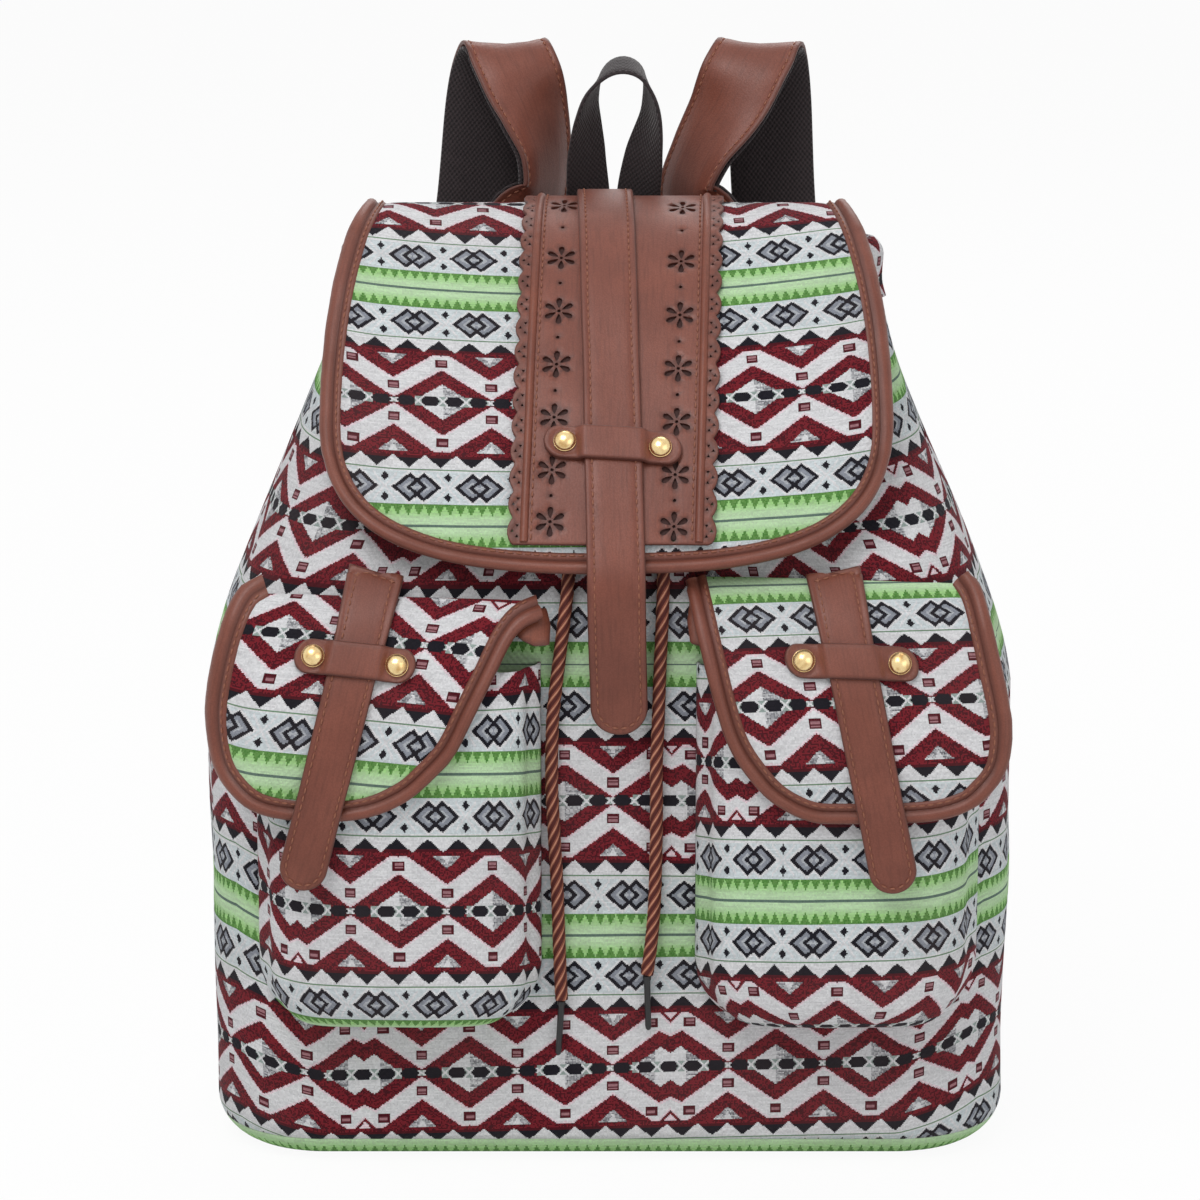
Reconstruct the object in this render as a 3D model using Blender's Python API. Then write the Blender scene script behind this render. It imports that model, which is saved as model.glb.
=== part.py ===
# Woven canvas drawstring backpack with leather trim
# Metres, +Z up. The front faces -Y and the base rests on Z = 0.
import math

import bpy
import bmesh
from mathutils import Vector
from mathutils.geometry import delaunay_2d_cdt, intersect_point_line

for item in list(bpy.data.objects):
    bpy.data.objects.remove(item, do_unlink=True)

# Clearances and sheet stock
gap = 0.0003
layer_gap = 0.0007
fabric = 0.0024
leather = 0.0020
binding_width = 0.0084
binding_height = 0.0044
webbing = 0.0016

# Body of the bag
body_width = 0.320
body_depth = 0.145
neck_width = 0.208
neck_depth = 0.037
neck_height = 0.347
neck_lean = 0.011
shoulder_height = 0.185
lean_height = 0.225
corner_radius = 0.045
base_edge_radius = 0.018
base_rim_height = 0.010
body_fullness = 0.003
gather_count = 14
gather_depth = 0.0035
back_gather_depth = 0.0014

# Casing of the drawcord
casing_drop = 0.013
casing_wall = 0.0016
casing_slack = 0.0007
casing_arch = 0.006
cord_radius = 0.0026
eyelet_radius = 0.0055
eyelet_share = 0.5
eyelet_rim = 0.0012
cord_tip_radius = 0.0013
cord_tip_length = 0.0230

# Main flap
flap_centre = -0.0015
flap_half_width = 0.1115
flap_wide_drop = 0.115
flap_roundness = 2.8
flap_top_half_width = 0.098
flap_drop = 0.1815
flap_back_hem = 0.060
lace_half_width = 0.0405
lace_lean = 1.8
lace_centre = 0.0058
lace_drop = 0.1710
scallop_pitch = 0.0107
scallop_depth = 0.0022
flower_radius = 0.0062
flower_core = 0.0026
flower_spread = 0.0257
flower_drops = (0.0112, 0.0451, 0.0714, 0.0958, 0.1194, 0.1417, 0.1628)
flower_shift = 0.0010
flap_strap_width = 0.0225
flap_strap_centre = -0.0019
flap_strap_lean = 1.3
flap_strap_drop = 0.2455
over_crest = 0.0365
flap_keeper_width = 0.0540
flap_keeper_height = 0.0135
flap_keeper_drop = 0.1311
flap_keeper_tilt = -4.0
flap_rivet_spread = 0.0185

# Front pockets
pocket_width = 0.112
pocket_depth = 0.027
pocket_bottom = 0.062
pocket_top = 0.226
pocket_corner = 0.026
left_pocket_centre = -0.083
right_pocket_centre = 0.0895
pocket_flap_width = 0.130
pocket_flap_height = 0.0945
pocket_flap_top = 0.246
pocket_ease_height = 0.170
pocket_seam_top = 0.2405
pocket_flap_ease = 0.0018
pocket_flap_flat = 0.050
pocket_strap_rise = -0.004
pocket_strap_width = 0.0185
pocket_strap_length = 0.124
pocket_step_start = 0.0745
left_keeper_width = 0.0470
right_keeper_width = 0.0515
pocket_keeper_height = 0.0122
pocket_keeper_drop = 0.0345
pocket_rivet_inset = 0.00725

# Rivets and magnetic snaps
rivet_radius = 0.0045
rivet_height = 0.0023
rivet_shank = 0.0012
rivet_washer = 0.0008
snap_radius = 0.0075
snap_thickness = 0.0024

# Back straps and haul loop
haul_width = 0.019
shoulder_width = 0.035
yoke_width = 0.124
yoke_bottom = 0.290
yoke_top = 0.311
lower_webbing_width = 0.025
slider_length = 0.026
slider_rail = 0.0030
slider_bar = 0.0014
slider_place = 0.55
anchor_spread = 0.104
anchor_seat = 0.034
anchor_width = 0.034
anchor_bottom = 0.014
anchor_top = 0.048

sliver_area = 1e-9
casing_bottom = neck_height - casing_drop
yoke_seat = 3 * gap + leather + webbing + gap


# Colours and finishes
def finish(name, colour, roughness, metallic=0.0):
    """A plain material with the colour and gloss of the real surface."""
    material = bpy.data.materials.new(name)
    material.use_nodes = True
    shader = material.node_tree.nodes["Principled BSDF"]
    shader.inputs["Base Color"].default_value = (*colour, 1.0)
    shader.inputs["Roughness"].default_value = roughness
    shader.inputs["Metallic"].default_value = metallic
    return material


woven_canvas = finish("woven_canvas", (0.60, 0.52, 0.50), 0.9)
flap_canvas = finish("flap_canvas", (0.62, 0.50, 0.48), 0.9)
brown_leather = finish("brown_leather", (0.27, 0.08, 0.05), 0.5)
dark_webbing = finish("dark_webbing", (0.03, 0.018, 0.018), 0.85)
twisted_cord = finish("twisted_cord", (0.25, 0.10, 0.07), 0.8)
black_tip = finish("black_tip", (0.01, 0.01, 0.01), 0.35)
gold_metal = finish("gold_metal", (0.80, 0.52, 0.24), 0.25, 1.0)
steel_metal = finish("steel_metal", (0.55, 0.55, 0.55), 0.35, 1.0)
black_slider = finish("black_slider", (0.02, 0.02, 0.02), 0.4)


# Mesh building
def add_solid(name, points, faces, material, soft_angle=50):
    """A closed body from points and faces, with its faces turned outwards."""
    mesh = bpy.data.meshes.new(name)
    mesh.from_pydata([tuple(point) for point in points], [], faces)
    body = bmesh.new()
    body.from_mesh(mesh)
    bmesh.ops.triangulate(body, faces=body.faces)
    bmesh.ops.recalc_face_normals(body, faces=body.faces)
    body.to_mesh(mesh)
    body.free()
    mesh.shade_smooth()
    mesh.set_sharp_from_angle(angle=math.radians(soft_angle))
    mesh.materials.append(material)
    solid = bpy.data.objects.new(name, mesh)
    bpy.context.scene.collection.objects.link(solid)
    return solid


def wall(name, outer, inner, material, ring=False):
    """A wall between two grids of points, closed at its edges."""
    rows = len(outer)
    columns = len(outer[0])
    points = [point for row in outer for point in row]
    points += [point for row in inner for point in row]
    back = rows * columns
    last = columns if ring else columns - 1
    faces = []
    for row in range(rows - 1):
        for column in range(last):
            a = row * columns + column
            b = row * columns + (column + 1) % columns
            c = b + columns
            d = a + columns
            faces.append((a, b, c, d))
            faces.append((back + d, back + c, back + b, back + a))
    for column in range(last):
        beside = (column + 1) % columns
        top = (rows - 1) * columns
        faces.append((back + column, back + beside, beside, column))
        faces.append((top + column, top + beside, back + top + beside, back + top + column))
    if not ring:
        for row in range(rows - 1):
            for column in (0, columns - 1):
                a = row * columns + column
                faces.append((a, a + columns, back + a + columns, back + a))
    return add_solid(name, points, faces, material)


def tube(name, stations, material, closed=False):
    """A body from rings of points, one ring for each station along it."""
    sides = len(stations[0])
    points = [point for ring in stations for point in ring]
    count = len(stations)
    faces = []
    for station in range(count if closed else count - 1):
        here = station * sides
        there = ((station + 1) % count) * sides
        for side in range(sides):
            beside = (side + 1) % sides
            faces.append((here + side, here + beside, there + beside, there + side))
    if not closed:
        faces.append(tuple(range(sides)))
        faces.append(tuple((count - 1) * sides + side for side in range(sides)))
    return add_solid(name, points, faces, material)


def turned(name, profile, centre, axis, material, sides=12, ring_shape=False):
    """A round body turned about an axis; the profile holds radius and height pairs.
    A ring's profile goes right round, so that the middle stays open."""
    turn = Vector((0, 0, 1)).rotation_difference(Vector(axis)).to_matrix()
    rings = []
    for radius, height in profile:
        ring = []
        for side in range(sides):
            angle = 2 * math.pi * side / sides
            ring.append(turn @ Vector((radius * math.cos(angle), radius * math.sin(angle), height)) + centre)
        rings.append(ring)
    return tube(name, rings, material, closed=ring_shape)


def smooth_line(points, count, closed=False):
    """Evenly spaced points on a smooth curve through the given points."""
    knots = [Vector(point) for point in points]
    spans = len(knots) if closed else len(knots) - 1
    dense = []
    for span in range(spans):
        if closed:
            p0, p1, p2, p3 = (knots[(span + shift) % spans] for shift in (-1, 0, 1, 2))
        else:
            p0 = knots[max(span - 1, 0)]
            p1 = knots[span]
            p2 = knots[span + 1]
            p3 = knots[min(span + 2, spans)]
        for step in range(16):
            t = step / 16
            dense.append(0.5 * (2 * p1 + (p2 - p0) * t + (2 * p0 - 5 * p1 + 4 * p2 - p3) * t * t
                                + (3 * p1 - p0 - 3 * p2 + p3) * t ** 3))
    dense.append(knots[0] if closed else knots[-1])
    travelled = [0.0]
    for before, after in zip(dense, dense[1:]):
        travelled.append(travelled[-1] + (after - before).length)
    steps = count if closed else count - 1
    line = []
    reach = 0
    for step in range(count):
        target = travelled[-1] * step / steps
        while reach < len(dense) - 2 and travelled[reach + 1] < target:
            reach += 1
        length = travelled[reach + 1] - travelled[reach]
        share = (target - travelled[reach]) / length if length > 0 else 0.0
        line.append(dense[reach].lerp(dense[reach + 1], min(share, 1.0)))
    return line


def inside(point, outline):
    """Whether a flat point lies inside a closed outline."""
    hit = False
    for one, two in zip(outline, outline[1:] + outline[:1]):
        if (one[1] > point[1]) != (two[1] > point[1]):
            cross = one[0] + (point[1] - one[1]) * (two[0] - one[0]) / (two[1] - one[1])
            if point[0] < cross:
                hit = not hit
    return hit


def edge_distance(point, outline):
    """Distance from a flat point to a closed outline."""
    best = 1.0
    for one, two in zip(outline, outline[1:] + outline[:1]):
        foot, share = intersect_point_line(point, one, two)
        foot = one.lerp(two, min(max(share, 0.0), 1.0))
        best = min(best, (point - Vector(foot[:2])).length)
    return best


def circle(centre, radius, sides=8):
    """A round hole's outline."""
    return [Vector((centre[0] + radius * math.cos(2 * math.pi * side / sides),
                    centre[1] + radius * math.sin(2 * math.pi * side / sides))) for side in range(sides)]


def laid(surface, a, b, depth):
    """A point at a distance in front of a surface, at flat place a, b."""
    step = 0.0005
    across = surface(a + step, b) - surface(a - step, b)
    along = surface(a, b + step) - surface(a, b - step)
    return surface(a, b) + across.cross(along).normalized() * depth


def refined(outline, spacing):
    """A closed outline with its long edges divided."""
    spots = []
    for one, two in zip(outline, outline[1:] + outline[:1]):
        count = max(math.ceil((two - one).length / (1.3 * spacing)), 1)
        spots += [one.lerp(two, step / count) for step in range(count)]
    return spots


def sheet(name, outline, surface, low, high, spacing, material, holes=(), lift=None, marks=(), levels=None):
    """A sheet cut to a flat outline with holes, laid on a surface between two depths."""
    flat = refined([Vector(point[:2]) for point in outline], spacing)
    edges = [(index, (index + 1) % len(flat)) for index in range(len(flat))]
    points = list(flat)
    for hole in holes:
        start = len(points)
        points += hole
        edges += [(start + index, start + (index + 1) % len(hole)) for index in range(len(hole))]
    left = min(point.x for point in flat)
    right = max(point.x for point in flat)
    bottom = min(point.y for point in flat)
    top = max(point.y for point in flat)
    columns = max(round((right - left) / spacing), 1)
    rows = max(round((top - bottom) / spacing), 1)
    for level in levels or [bottom + (top - bottom) * (row + 0.5) / rows for row in range(rows)]:
        for column in range(columns):
            spot = Vector((left + (right - left) * (column + 0.5) / columns, level))
            if not inside(spot, flat) or edge_distance(spot, flat) < 0.2 * spacing:
                continue
            if any(inside(spot, hole) or edge_distance(spot, hole) < 0.2 * spacing for hole in holes):
                continue
            points.append(spot)
    points += marks
    cut = delaunay_2d_cdt(points, edges, [], 0, 1e-7)
    triangles = []
    for face in cut[2]:
        one, two, three = (cut[0][index] for index in face)
        middle = (one + two + three) / 3
        if abs((two - one).cross(three - one)) < sliver_area:
            continue
        if inside(middle, flat) and not any(inside(middle, hole) for hole in holes):
            triangles.append(tuple(face))
    count = len(cut[0])
    rise = lift or (lambda a, b: 0.0)
    solid = [laid(surface, spot.x, spot.y, high + rise(spot.x, spot.y)) for spot in cut[0]]
    solid += [laid(surface, spot.x, spot.y, low + rise(spot.x, spot.y)) for spot in cut[0]]
    faces = list(triangles)
    faces += [tuple(count + index for index in reversed(face)) for face in triangles]
    seen = {}
    for face in triangles:
        for one, two in zip(face, face[1:] + face[:1]):
            seen[(one, two)] = True
    for one, two in seen:
        if (two, one) not in seen:
            faces.append((two, one, count + one, count + two))
    return add_solid(name, solid, faces, material)


def binding(name, line, surface, low, high, material, sides=6):
    """A rounded edge strip swept along a flat line on a surface."""
    rings = []
    middle = (low + high) / 2
    for index, spot in enumerate(line):
        along = line[min(index + 1, len(line) - 1)] - line[max(index - 1, 0)]
        along.normalize()
        across = Vector((-along.y, along.x))
        ring = []
        for side in range(sides):
            angle = 2 * math.pi * (side + 0.5) / sides
            away = spot + across * (math.cos(angle) * binding_width / 2)
            ring.append(laid(surface, away.x, away.y, middle + math.sin(angle) * (high - low) / 2))
        rings.append(ring)
    return tube(name, rings, material)


def ribbon(name, centres, widths, width, low, high, material):
    """A flat strap along a line, between two offsets from that line."""
    stations = []
    for index, centre in enumerate(centres):
        along = centres[min(index + 1, len(centres) - 1)] - centres[max(index - 1, 0)]
        across = widths[index].normalized()
        face = across.cross(along).normalized()
        across = along.cross(face).normalized()
        stations.append([centre + across * side * width / 2 + face * depth
                         for side, depth in ((-1, low), (1, low), (1, high), (-1, high))])
    return tube(name, stations, material)


def rope(name, points, radius, material):
    """A limp cord as a round curve with filled ends."""
    curve = bpy.data.curves.new(name, "CURVE")
    curve.dimensions = "3D"
    curve.bevel_depth = radius
    curve.bevel_resolution = 2
    curve.use_fill_caps = True
    spline = curve.splines.new("POLY")
    spline.points.add(len(points) - 1)
    for knot, point in zip(spline.points, points):
        knot.co = (*point, 1.0)
    curve.materials.append(material)
    cord = bpy.data.objects.new(name, curve)
    bpy.context.scene.collection.objects.link(cord)
    return cord


# Form of the body
def blend(start, end, height):
    """Progress from one height to another, held between 0 and 1."""
    return min(max((height - start) / (end - start), 0.0), 1.0)


def half_width(height):
    """Half the width of the bag at a height."""
    share = blend(shoulder_height, neck_height, height)
    ease = 0.5 * (share + share * share * (3 - 2 * share))
    return (body_width + (neck_width - body_width) * ease) / 2


def front_line(height):
    """Where the front panel stands at a height."""
    share = blend(lean_height, neck_height, height)
    ease = 0.5 * (share ** 1.35 + share * share * (3 - 2 * share))
    return -body_depth / 2 + (body_depth - neck_lean - neck_depth) * ease


def back_line(height):
    """Where the back panel stands at a height."""
    return body_depth / 2 - neck_lean * blend(shoulder_height, neck_height, height)


def corner(height):
    """Radius of the bag's upright corners at a height."""
    return min(corner_radius, 0.46 * (back_line(height) - front_line(height)))


def side_lengths(height):
    """Lengths of the front, corner and side stretches of the outline at a height."""
    radius = corner(height)
    flat = 2 * (half_width(height) - radius)
    flank = back_line(height) - front_line(height) - 2 * radius
    return flat, math.pi / 2 * radius, flank


def girth_share(turn):
    """Share of the way round the neck at a turn of 0 to 8."""
    flat, bend, flank = side_lengths(neck_height)
    stretches = (flat, bend, flank, bend, flat, bend, flank, bend)
    whole = math.floor(turn) % 8
    passed = sum(stretches[:whole]) + stretches[whole] * (turn - math.floor(turn))
    return passed / sum(stretches)


def skin(turn, height, depth=0.0):
    """A point of the body's skin, or of a layer at a depth inside it."""
    turn = turn % 8
    part = math.floor(turn)
    share = turn - part
    radius = corner(height)
    tuck = 0.0
    if height < base_edge_radius:
        tuck = base_edge_radius - math.sqrt(base_edge_radius ** 2 - (base_edge_radius - height) ** 2)
    across = half_width(height) - radius
    front = front_line(height) + radius
    back = back_line(height) - radius
    spots = ((-across, front, -90, 0), (across, front, -90, 90),
             (across, front, 0, 0), (across, back, 0, 90),
             (across, back, 90, 0), (-across, back, 90, 90),
             (-across, back, 180, 0), (-across, front, 180, 90))
    x, y, angle, sweep = spots[part]
    angle = math.radians(angle + sweep * share)
    if part == 0:
        x += 2 * across * share
    elif part == 2:
        y += (back - front) * share
    elif part == 4:
        x -= 2 * across * share
    elif part == 6:
        y -= (back - front) * share
    normal = Vector((math.cos(angle), math.sin(angle), 0))
    rise = blend(lean_height, casing_bottom, height)
    deep = back_gather_depth if 3 <= turn <= 6 else gather_depth
    if part in (2, 6):
        deep += (back_gather_depth - gather_depth) * (share if part == 2 else 1 - share)
    gather = deep * rise * rise * math.cos(2 * math.pi * gather_count * girth_share(turn))
    full = 0.0
    if part in (2, 4, 6):
        full = body_fullness * 4 * share * (1 - share) * math.sin(math.pi * blend(0, neck_height, height))
    return Vector((x, y, height)) + normal * (radius + gather + full - tuck - depth)


def seam_turn(height):
    """Turn at which the front panel stops short of the back panel's seam."""
    return 3 - gap / side_lengths(height)[2]


def spread(start, end, count):
    """Evenly spaced values from start to end."""
    return [start + (end - start) * step / (count - 1) for step in range(count)]


def panel(name, turns, heights, material):
    """A panel of the body between two turns, as a wall of canvas."""
    outer = [[skin(turn, height) for turn in turns(height)] for height in heights]
    inner = [[skin(turn, height, fabric) for turn in turns(height)] for height in heights]
    return wall(name, outer, inner, material)


def front_turns(height):
    """Turns across the front panel, from the left side seam to the right one."""
    edge = seam_turn(height)
    turns = spread(1 - edge, -1, 4)[:-1] + spread(-1, 0, 5)[:-1] + spread(0, 1, 19)[:-1]
    return turns + spread(1, 2, 5)[:-1] + spread(2, edge, 4)


def back_turns(height):
    """Turns across the back panel, from the right side seam to the left one."""
    return spread(3, 4, 5)[:-1] + spread(4, 5, 15)[:-1] + spread(5, 6, 5)


panel_top = neck_height - gap
panel_foot = base_rim_height + gap
pocket_row = (shoulder_height + pocket_top) / 2
panel_heights = [panel_foot, base_edge_radius, 0.060, 0.120, shoulder_height, pocket_row, pocket_top, 0.246,
                 0.268, 0.290, 0.312, casing_bottom, panel_top]
panel("body_front", front_turns, panel_heights, woven_canvas)
panel("body_back", back_turns, panel_heights, woven_canvas)


# Base: a flat floor with its edge turned up to the seam
def base_ring(height, depth=0.0):
    """Outline of the base's outer skin at a height, or of a layer inside it."""
    return [skin(turn, height, depth) for turn in spread(0, 8, 41)[:-1]]


floor_inside = [point + Vector((0, 0, fabric)) for point in base_ring(0, fabric / 2)]
tube("base_panel", [base_ring(0), base_ring(base_rim_height * 0.15), base_ring(base_rim_height * 0.5),
                    base_ring(base_rim_height), base_ring(base_rim_height, fabric),
                    base_ring(base_rim_height * 0.5, fabric), floor_inside], woven_canvas)


# Drawstring casing round the mouth, with the cord inside it
cord_height = neck_height + cord_radius + gap
casing_middle = fabric / 2
casing_room = cord_radius + casing_slack
casing_top = cord_height + casing_arch + casing_wall
casing_outline = (
    (-gap - casing_wall, casing_bottom), (casing_middle - casing_room - casing_wall, cord_height),
    (casing_middle, casing_top), (casing_middle + casing_room + casing_wall, cord_height),
    (fabric + gap + casing_wall, neck_height), (fabric + gap + casing_wall, casing_bottom),
    (fabric + gap, casing_bottom), (fabric + gap, neck_height), (casing_middle + casing_room, cord_height),
    (casing_middle, casing_top - casing_wall), (casing_middle - casing_room, cord_height),
    (-gap, neck_height), (-gap, casing_bottom))
casing_layers = []
for depth, height in casing_outline:
    casing_layers.append([skin(turn, height, depth) for turn in front_turns(height) + back_turns(height)])
tube("neck_casing", casing_layers, woven_canvas, closed=True)

cord_layers = []
for side in range(5):
    angle = 0.4 * math.pi * side
    height = cord_height + cord_radius * math.sin(angle)
    depth = casing_middle - cord_radius * math.cos(angle)
    cord_layers.append([skin(turn, height, depth) for turn in front_turns(height) + back_turns(height)])
tube("neck_cord", cord_layers, twisted_cord, closed=True)


# Layers of the main flap and of the pocket flaps, as distances in front of their lining
lining_back = 0.0
binding_low = -0.0004
binding_high = binding_low + binding_height
patch_low = fabric + layer_gap
patch_high = patch_low + leather
flap_strap_low = patch_high + layer_gap
flap_strap_high = flap_strap_low + leather
strap_step = binding_high + gap - patch_low
pocket_snap_thickness = (binding_high + gap + pocket_flap_ease - 4 * gap) / 2


def back_face(height):
    """The outermost face of the back panel at a height, gathers and fullness included."""
    rise = blend(lean_height, casing_bottom, height)
    full = body_fullness * math.sin(math.pi * blend(0, neck_height, height))
    return back_line(height) + full + back_gather_depth * rise * rise


# Side view of the main flap's lining as Y and Z: up from its hem on the back panel, over the crest,
# down the front, and on along the hanging strap.
flap_knots = [(back_face(neck_height - drop) + gap, neck_height - drop) for drop in (0.034, 0.020)]
flap_knots += [(back_line(neck_height) + y, neck_height + z) for y, z in (
    (0.0065, -0.008), (0.0080, 0.003), (0.0055, 0.012),
    (-0.0025, 0.0178), (-0.0135, 0.0200), (-0.0255, 0.0185))]
flap_knots += [(front_line(neck_height - drop) - stand_off, neck_height - drop) for drop, stand_off in (
    (-0.0132, 0.0035), (-0.0025, 0.0195), (0.0120, 0.0287),
    (0.0460, 0.0285), (0.0750, 0.0209), (0.1020, 0.0145),
    (0.1140, 0.0095), (0.1280, 0.0058), (0.1470, 0.0024), (0.1820, 0.0007))]
flap_side = smooth_line([(0, y, z) for y, z in flap_knots], 120)
crest_levels = [0.006 * step for step in range(-3, 8)]
flap_levels = [-0.012 * step for step in range(30, 1, -1)] + crest_levels + [0.054]
crest_place = max(range(len(flap_side)), key=lambda index: flap_side[index].z)
side_step = (flap_side[1] - flap_side[0]).length


def flap_surface(a, b):
    """The main flap's lining at a distance a across and b up from the crest."""
    place = min(max(crest_place - b / side_step, 0.0), len(flap_side) - 1.001)
    index = math.floor(place)
    point = flap_side[index].lerp(flap_side[index + 1], place - index)
    over = max(abs(a) - (half_width(point.z) - corner(point.z)), 0.0)
    bend = over * over / (2 * corner(point.z)) if b < 0 else 0.0
    return Vector((a, point.y + bend * min(-b / 0.03, 1.0) if b < 0 else point.y, point.z))


def flap_edge():
    """Open outline of the main flap: down the left side, across the bottom and up the right side."""
    side = []
    for drop in [-flap_back_hem, -0.054] + [-rise for rise in crest_levels[::-1]] + [0.036, 0.060, 0.084]:
        share = blend(0.0, flap_wide_drop, drop)
        wide = flap_top_half_width + (flap_half_width - flap_top_half_width) * math.sin(share * math.pi / 2)
        side.append((wide, -drop))
    bottom = []
    for step in range(1, 10):
        angle = math.pi / 2 * step / 9
        x = flap_half_width * math.cos(angle) ** (2 / flap_roundness) if step < 9 else 0.0
        drop = flap_wide_drop + (flap_drop - flap_wide_drop) * math.sin(angle) ** (2 / flap_roundness)
        bottom.append((x, -drop))
    half = side + [(flap_half_width, -flap_wide_drop)] + bottom
    left = [Vector((flap_centre - x, b)) for x, b in half]
    right = [Vector((flap_centre + x, b)) for x, b in half[:-1]]
    return left + right[::-1]


def inset_line(line, distance):
    """An open line, run anticlockwise round a shape, moved inwards by a distance."""
    moved = []
    for index, spot in enumerate(line):
        along = line[min(index + 1, len(line) - 1)] - line[max(index - 1, 0)]
        along.normalize()
        moved.append(spot + Vector((-along.y, along.x)) * distance)
    return moved


def framed(surface, centre, right, up):
    """A surface in a frame of its own: u along right and v along up, from a centre."""
    def local(u, v):
        return surface(centre[0] + u * right[0] + v * up[0], centre[1] + u * right[1] + v * up[1])
    return local


def strap_outline(width, top, tip, levels):
    """A strap's outline in its own frame: square at the top, round at the tip."""
    radius = width / 2
    between = [level for level in sorted(levels, reverse=True) if tip + radius + 0.003 < level < top - 0.003]
    outline = [Vector((-radius, level)) for level in [top] + between + [tip + radius]]
    outline += [Vector((radius * math.cos(angle), tip + radius + radius * math.sin(angle)))
                for angle in (math.radians(180 + 30 * step) for step in range(1, 6))]
    return outline + [Vector((-spot.x, spot.y)) for spot in outline[:-5][::-1]]


def keeper(name, surface, width, height, strap_width, low, step_up, rivets, material):
    """A leather loop over a strap, raised where the strap passes under it, with holes for its rivets."""
    edge = strap_width / 2 + 2 * gap
    foot = edge + 0.6 * step_up
    end = width / 2
    columns = [foot + (end - height / 2 - foot) * share for share in (0.5, 1.0)]
    columns = [0.0, edge / 2, edge, foot] + columns
    curve = [(end - height / 2 + height / 2 * math.cos(angle), height / 2 * math.sin(angle))
             for angle in (math.radians(60), math.radians(30), 0.0)]
    upper = [(u, height / 2) for u in columns] + curve
    lower = [(u, -v) for u, v in upper[:-1]]
    right_side = [Vector(spot) for spot in lower + upper[::-1]]
    outline = right_side + [Vector((-spot.x, spot.y)) for spot in right_side[::-1] if spot.x > 0]
    marks = [Vector((u, v * height / 2)) for u in (-foot, -edge, edge, foot) for v in (-0.5, 0.0, 0.5)]
    holes = [circle((side * rivets, 0.0), rivet_shank + gap) for side in (-1, 1)]

    def lift(u, v):
        return step_up * (1 - blend(edge, foot, abs(u)))
    sheet(name, outline, surface, low, low + leather, 0.02, material, holes, lift, marks)


def rivet(name, surface, u, v, head, tail):
    """A domed rivet through all layers, its head at one depth and its washer at another."""
    centre = laid(surface, u, v, head)
    axis = (laid(surface, u, v, head + 0.001) - centre).normalized()
    length = head - tail
    washer = 0.6 * rivet_radius
    profile = [(0.35 * rivet_radius, rivet_height), (0.8 * rivet_radius, rivet_height * 0.65),
               (rivet_radius, 0), (rivet_shank, 0), (rivet_shank, -length), (washer, -length),
               (washer, -length - rivet_washer)]
    turned(name, profile[::-1], centre, axis, gold_metal, sides=8)


def disc(name, surface, u, v, low, high, material):
    """One half of a magnetic snap, a flat disc between two depths."""
    centre = laid(surface, u, v, low)
    axis = (laid(surface, u, v, high) - centre).normalized()
    turned(name, [(snap_radius, 0), (snap_radius, high - low)], centre, axis, material)


def scalloped_edge():
    """Half the width of the lace panel along its drop: shallow scallops between points."""
    spots = []
    count = round((lace_drop + over_crest) / scallop_pitch)
    for step in range(count * 3 + 1):
        bite = scallop_depth * (1 - abs(math.sin(math.pi * step / 3)))
        spots.append((lace_half_width - bite, over_crest - (lace_drop + over_crest) * step / (count * 3)))
    return spots


def flower(centre):
    """A six-petalled cut-out."""
    spots = []
    for step in range(12):
        reach = flower_radius if step % 2 == 0 else flower_core
        angle = math.radians(90 + 30 * step)
        spots.append(Vector((centre[0] + reach * math.cos(angle), centre[1] + reach * math.sin(angle))))
    return spots


def leaning(degrees):
    """The two axes of a frame whose upright leans to the left at its top."""
    angle = math.radians(degrees)
    return (math.cos(angle), math.sin(angle)), (-math.sin(angle), math.cos(angle))


# Main flap
edge = flap_edge()
level, upright = leaning(flap_strap_lean)
keeper_spot = (flap_strap_centre + level[1] / level[0] * flap_keeper_drop, -flap_keeper_drop)
keeper_level = leaning(flap_keeper_tilt)[0]
keeper_frame = framed(flap_surface, keeper_spot, keeper_level, upright)
rivet_spots = [(keeper_spot[0] + reach * keeper_level[0], keeper_spot[1] + reach * keeper_level[1])
               for reach in (-flap_rivet_spread, flap_rivet_spread)]
rivet_holes = [circle(spot, rivet_shank + gap) for spot in rivet_spots]
sheet("flap_cover", inset_line(edge, binding_width + gap), flap_surface, lining_back, fabric, 0.024,
      flap_canvas, rivet_holes, levels=flap_levels)
binding("flap_binding", inset_line(edge, binding_width / 2), flap_surface, binding_low, binding_high,
        brown_leather)

lace_level, lace_upright = leaning(-lace_lean)
lace_frame = framed(flap_surface, (lace_centre, 0.0), (1.0, 0.0), lace_upright)
lace_side = scalloped_edge()
lace_outline = [Vector((-u, v)) for u, v in lace_side] + [Vector((u, v)) for u, v in lace_side[::-1]]
flowers = [flower((side * flower_spread, -drop - side * flower_shift))
           for side in (-1, 1) for drop in flower_drops]
lace_holes = []
for spot in rivet_spots:
    v = spot[1] / lace_upright[1]
    lace_holes.append(circle((spot[0] - lace_centre - v * lace_upright[0], v), rivet_shank + gap))
sheet("flap_lace_panel", lace_outline, lace_frame, patch_low, patch_high, 0.016, brown_leather,
      flowers + lace_holes, levels=flap_levels)

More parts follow.
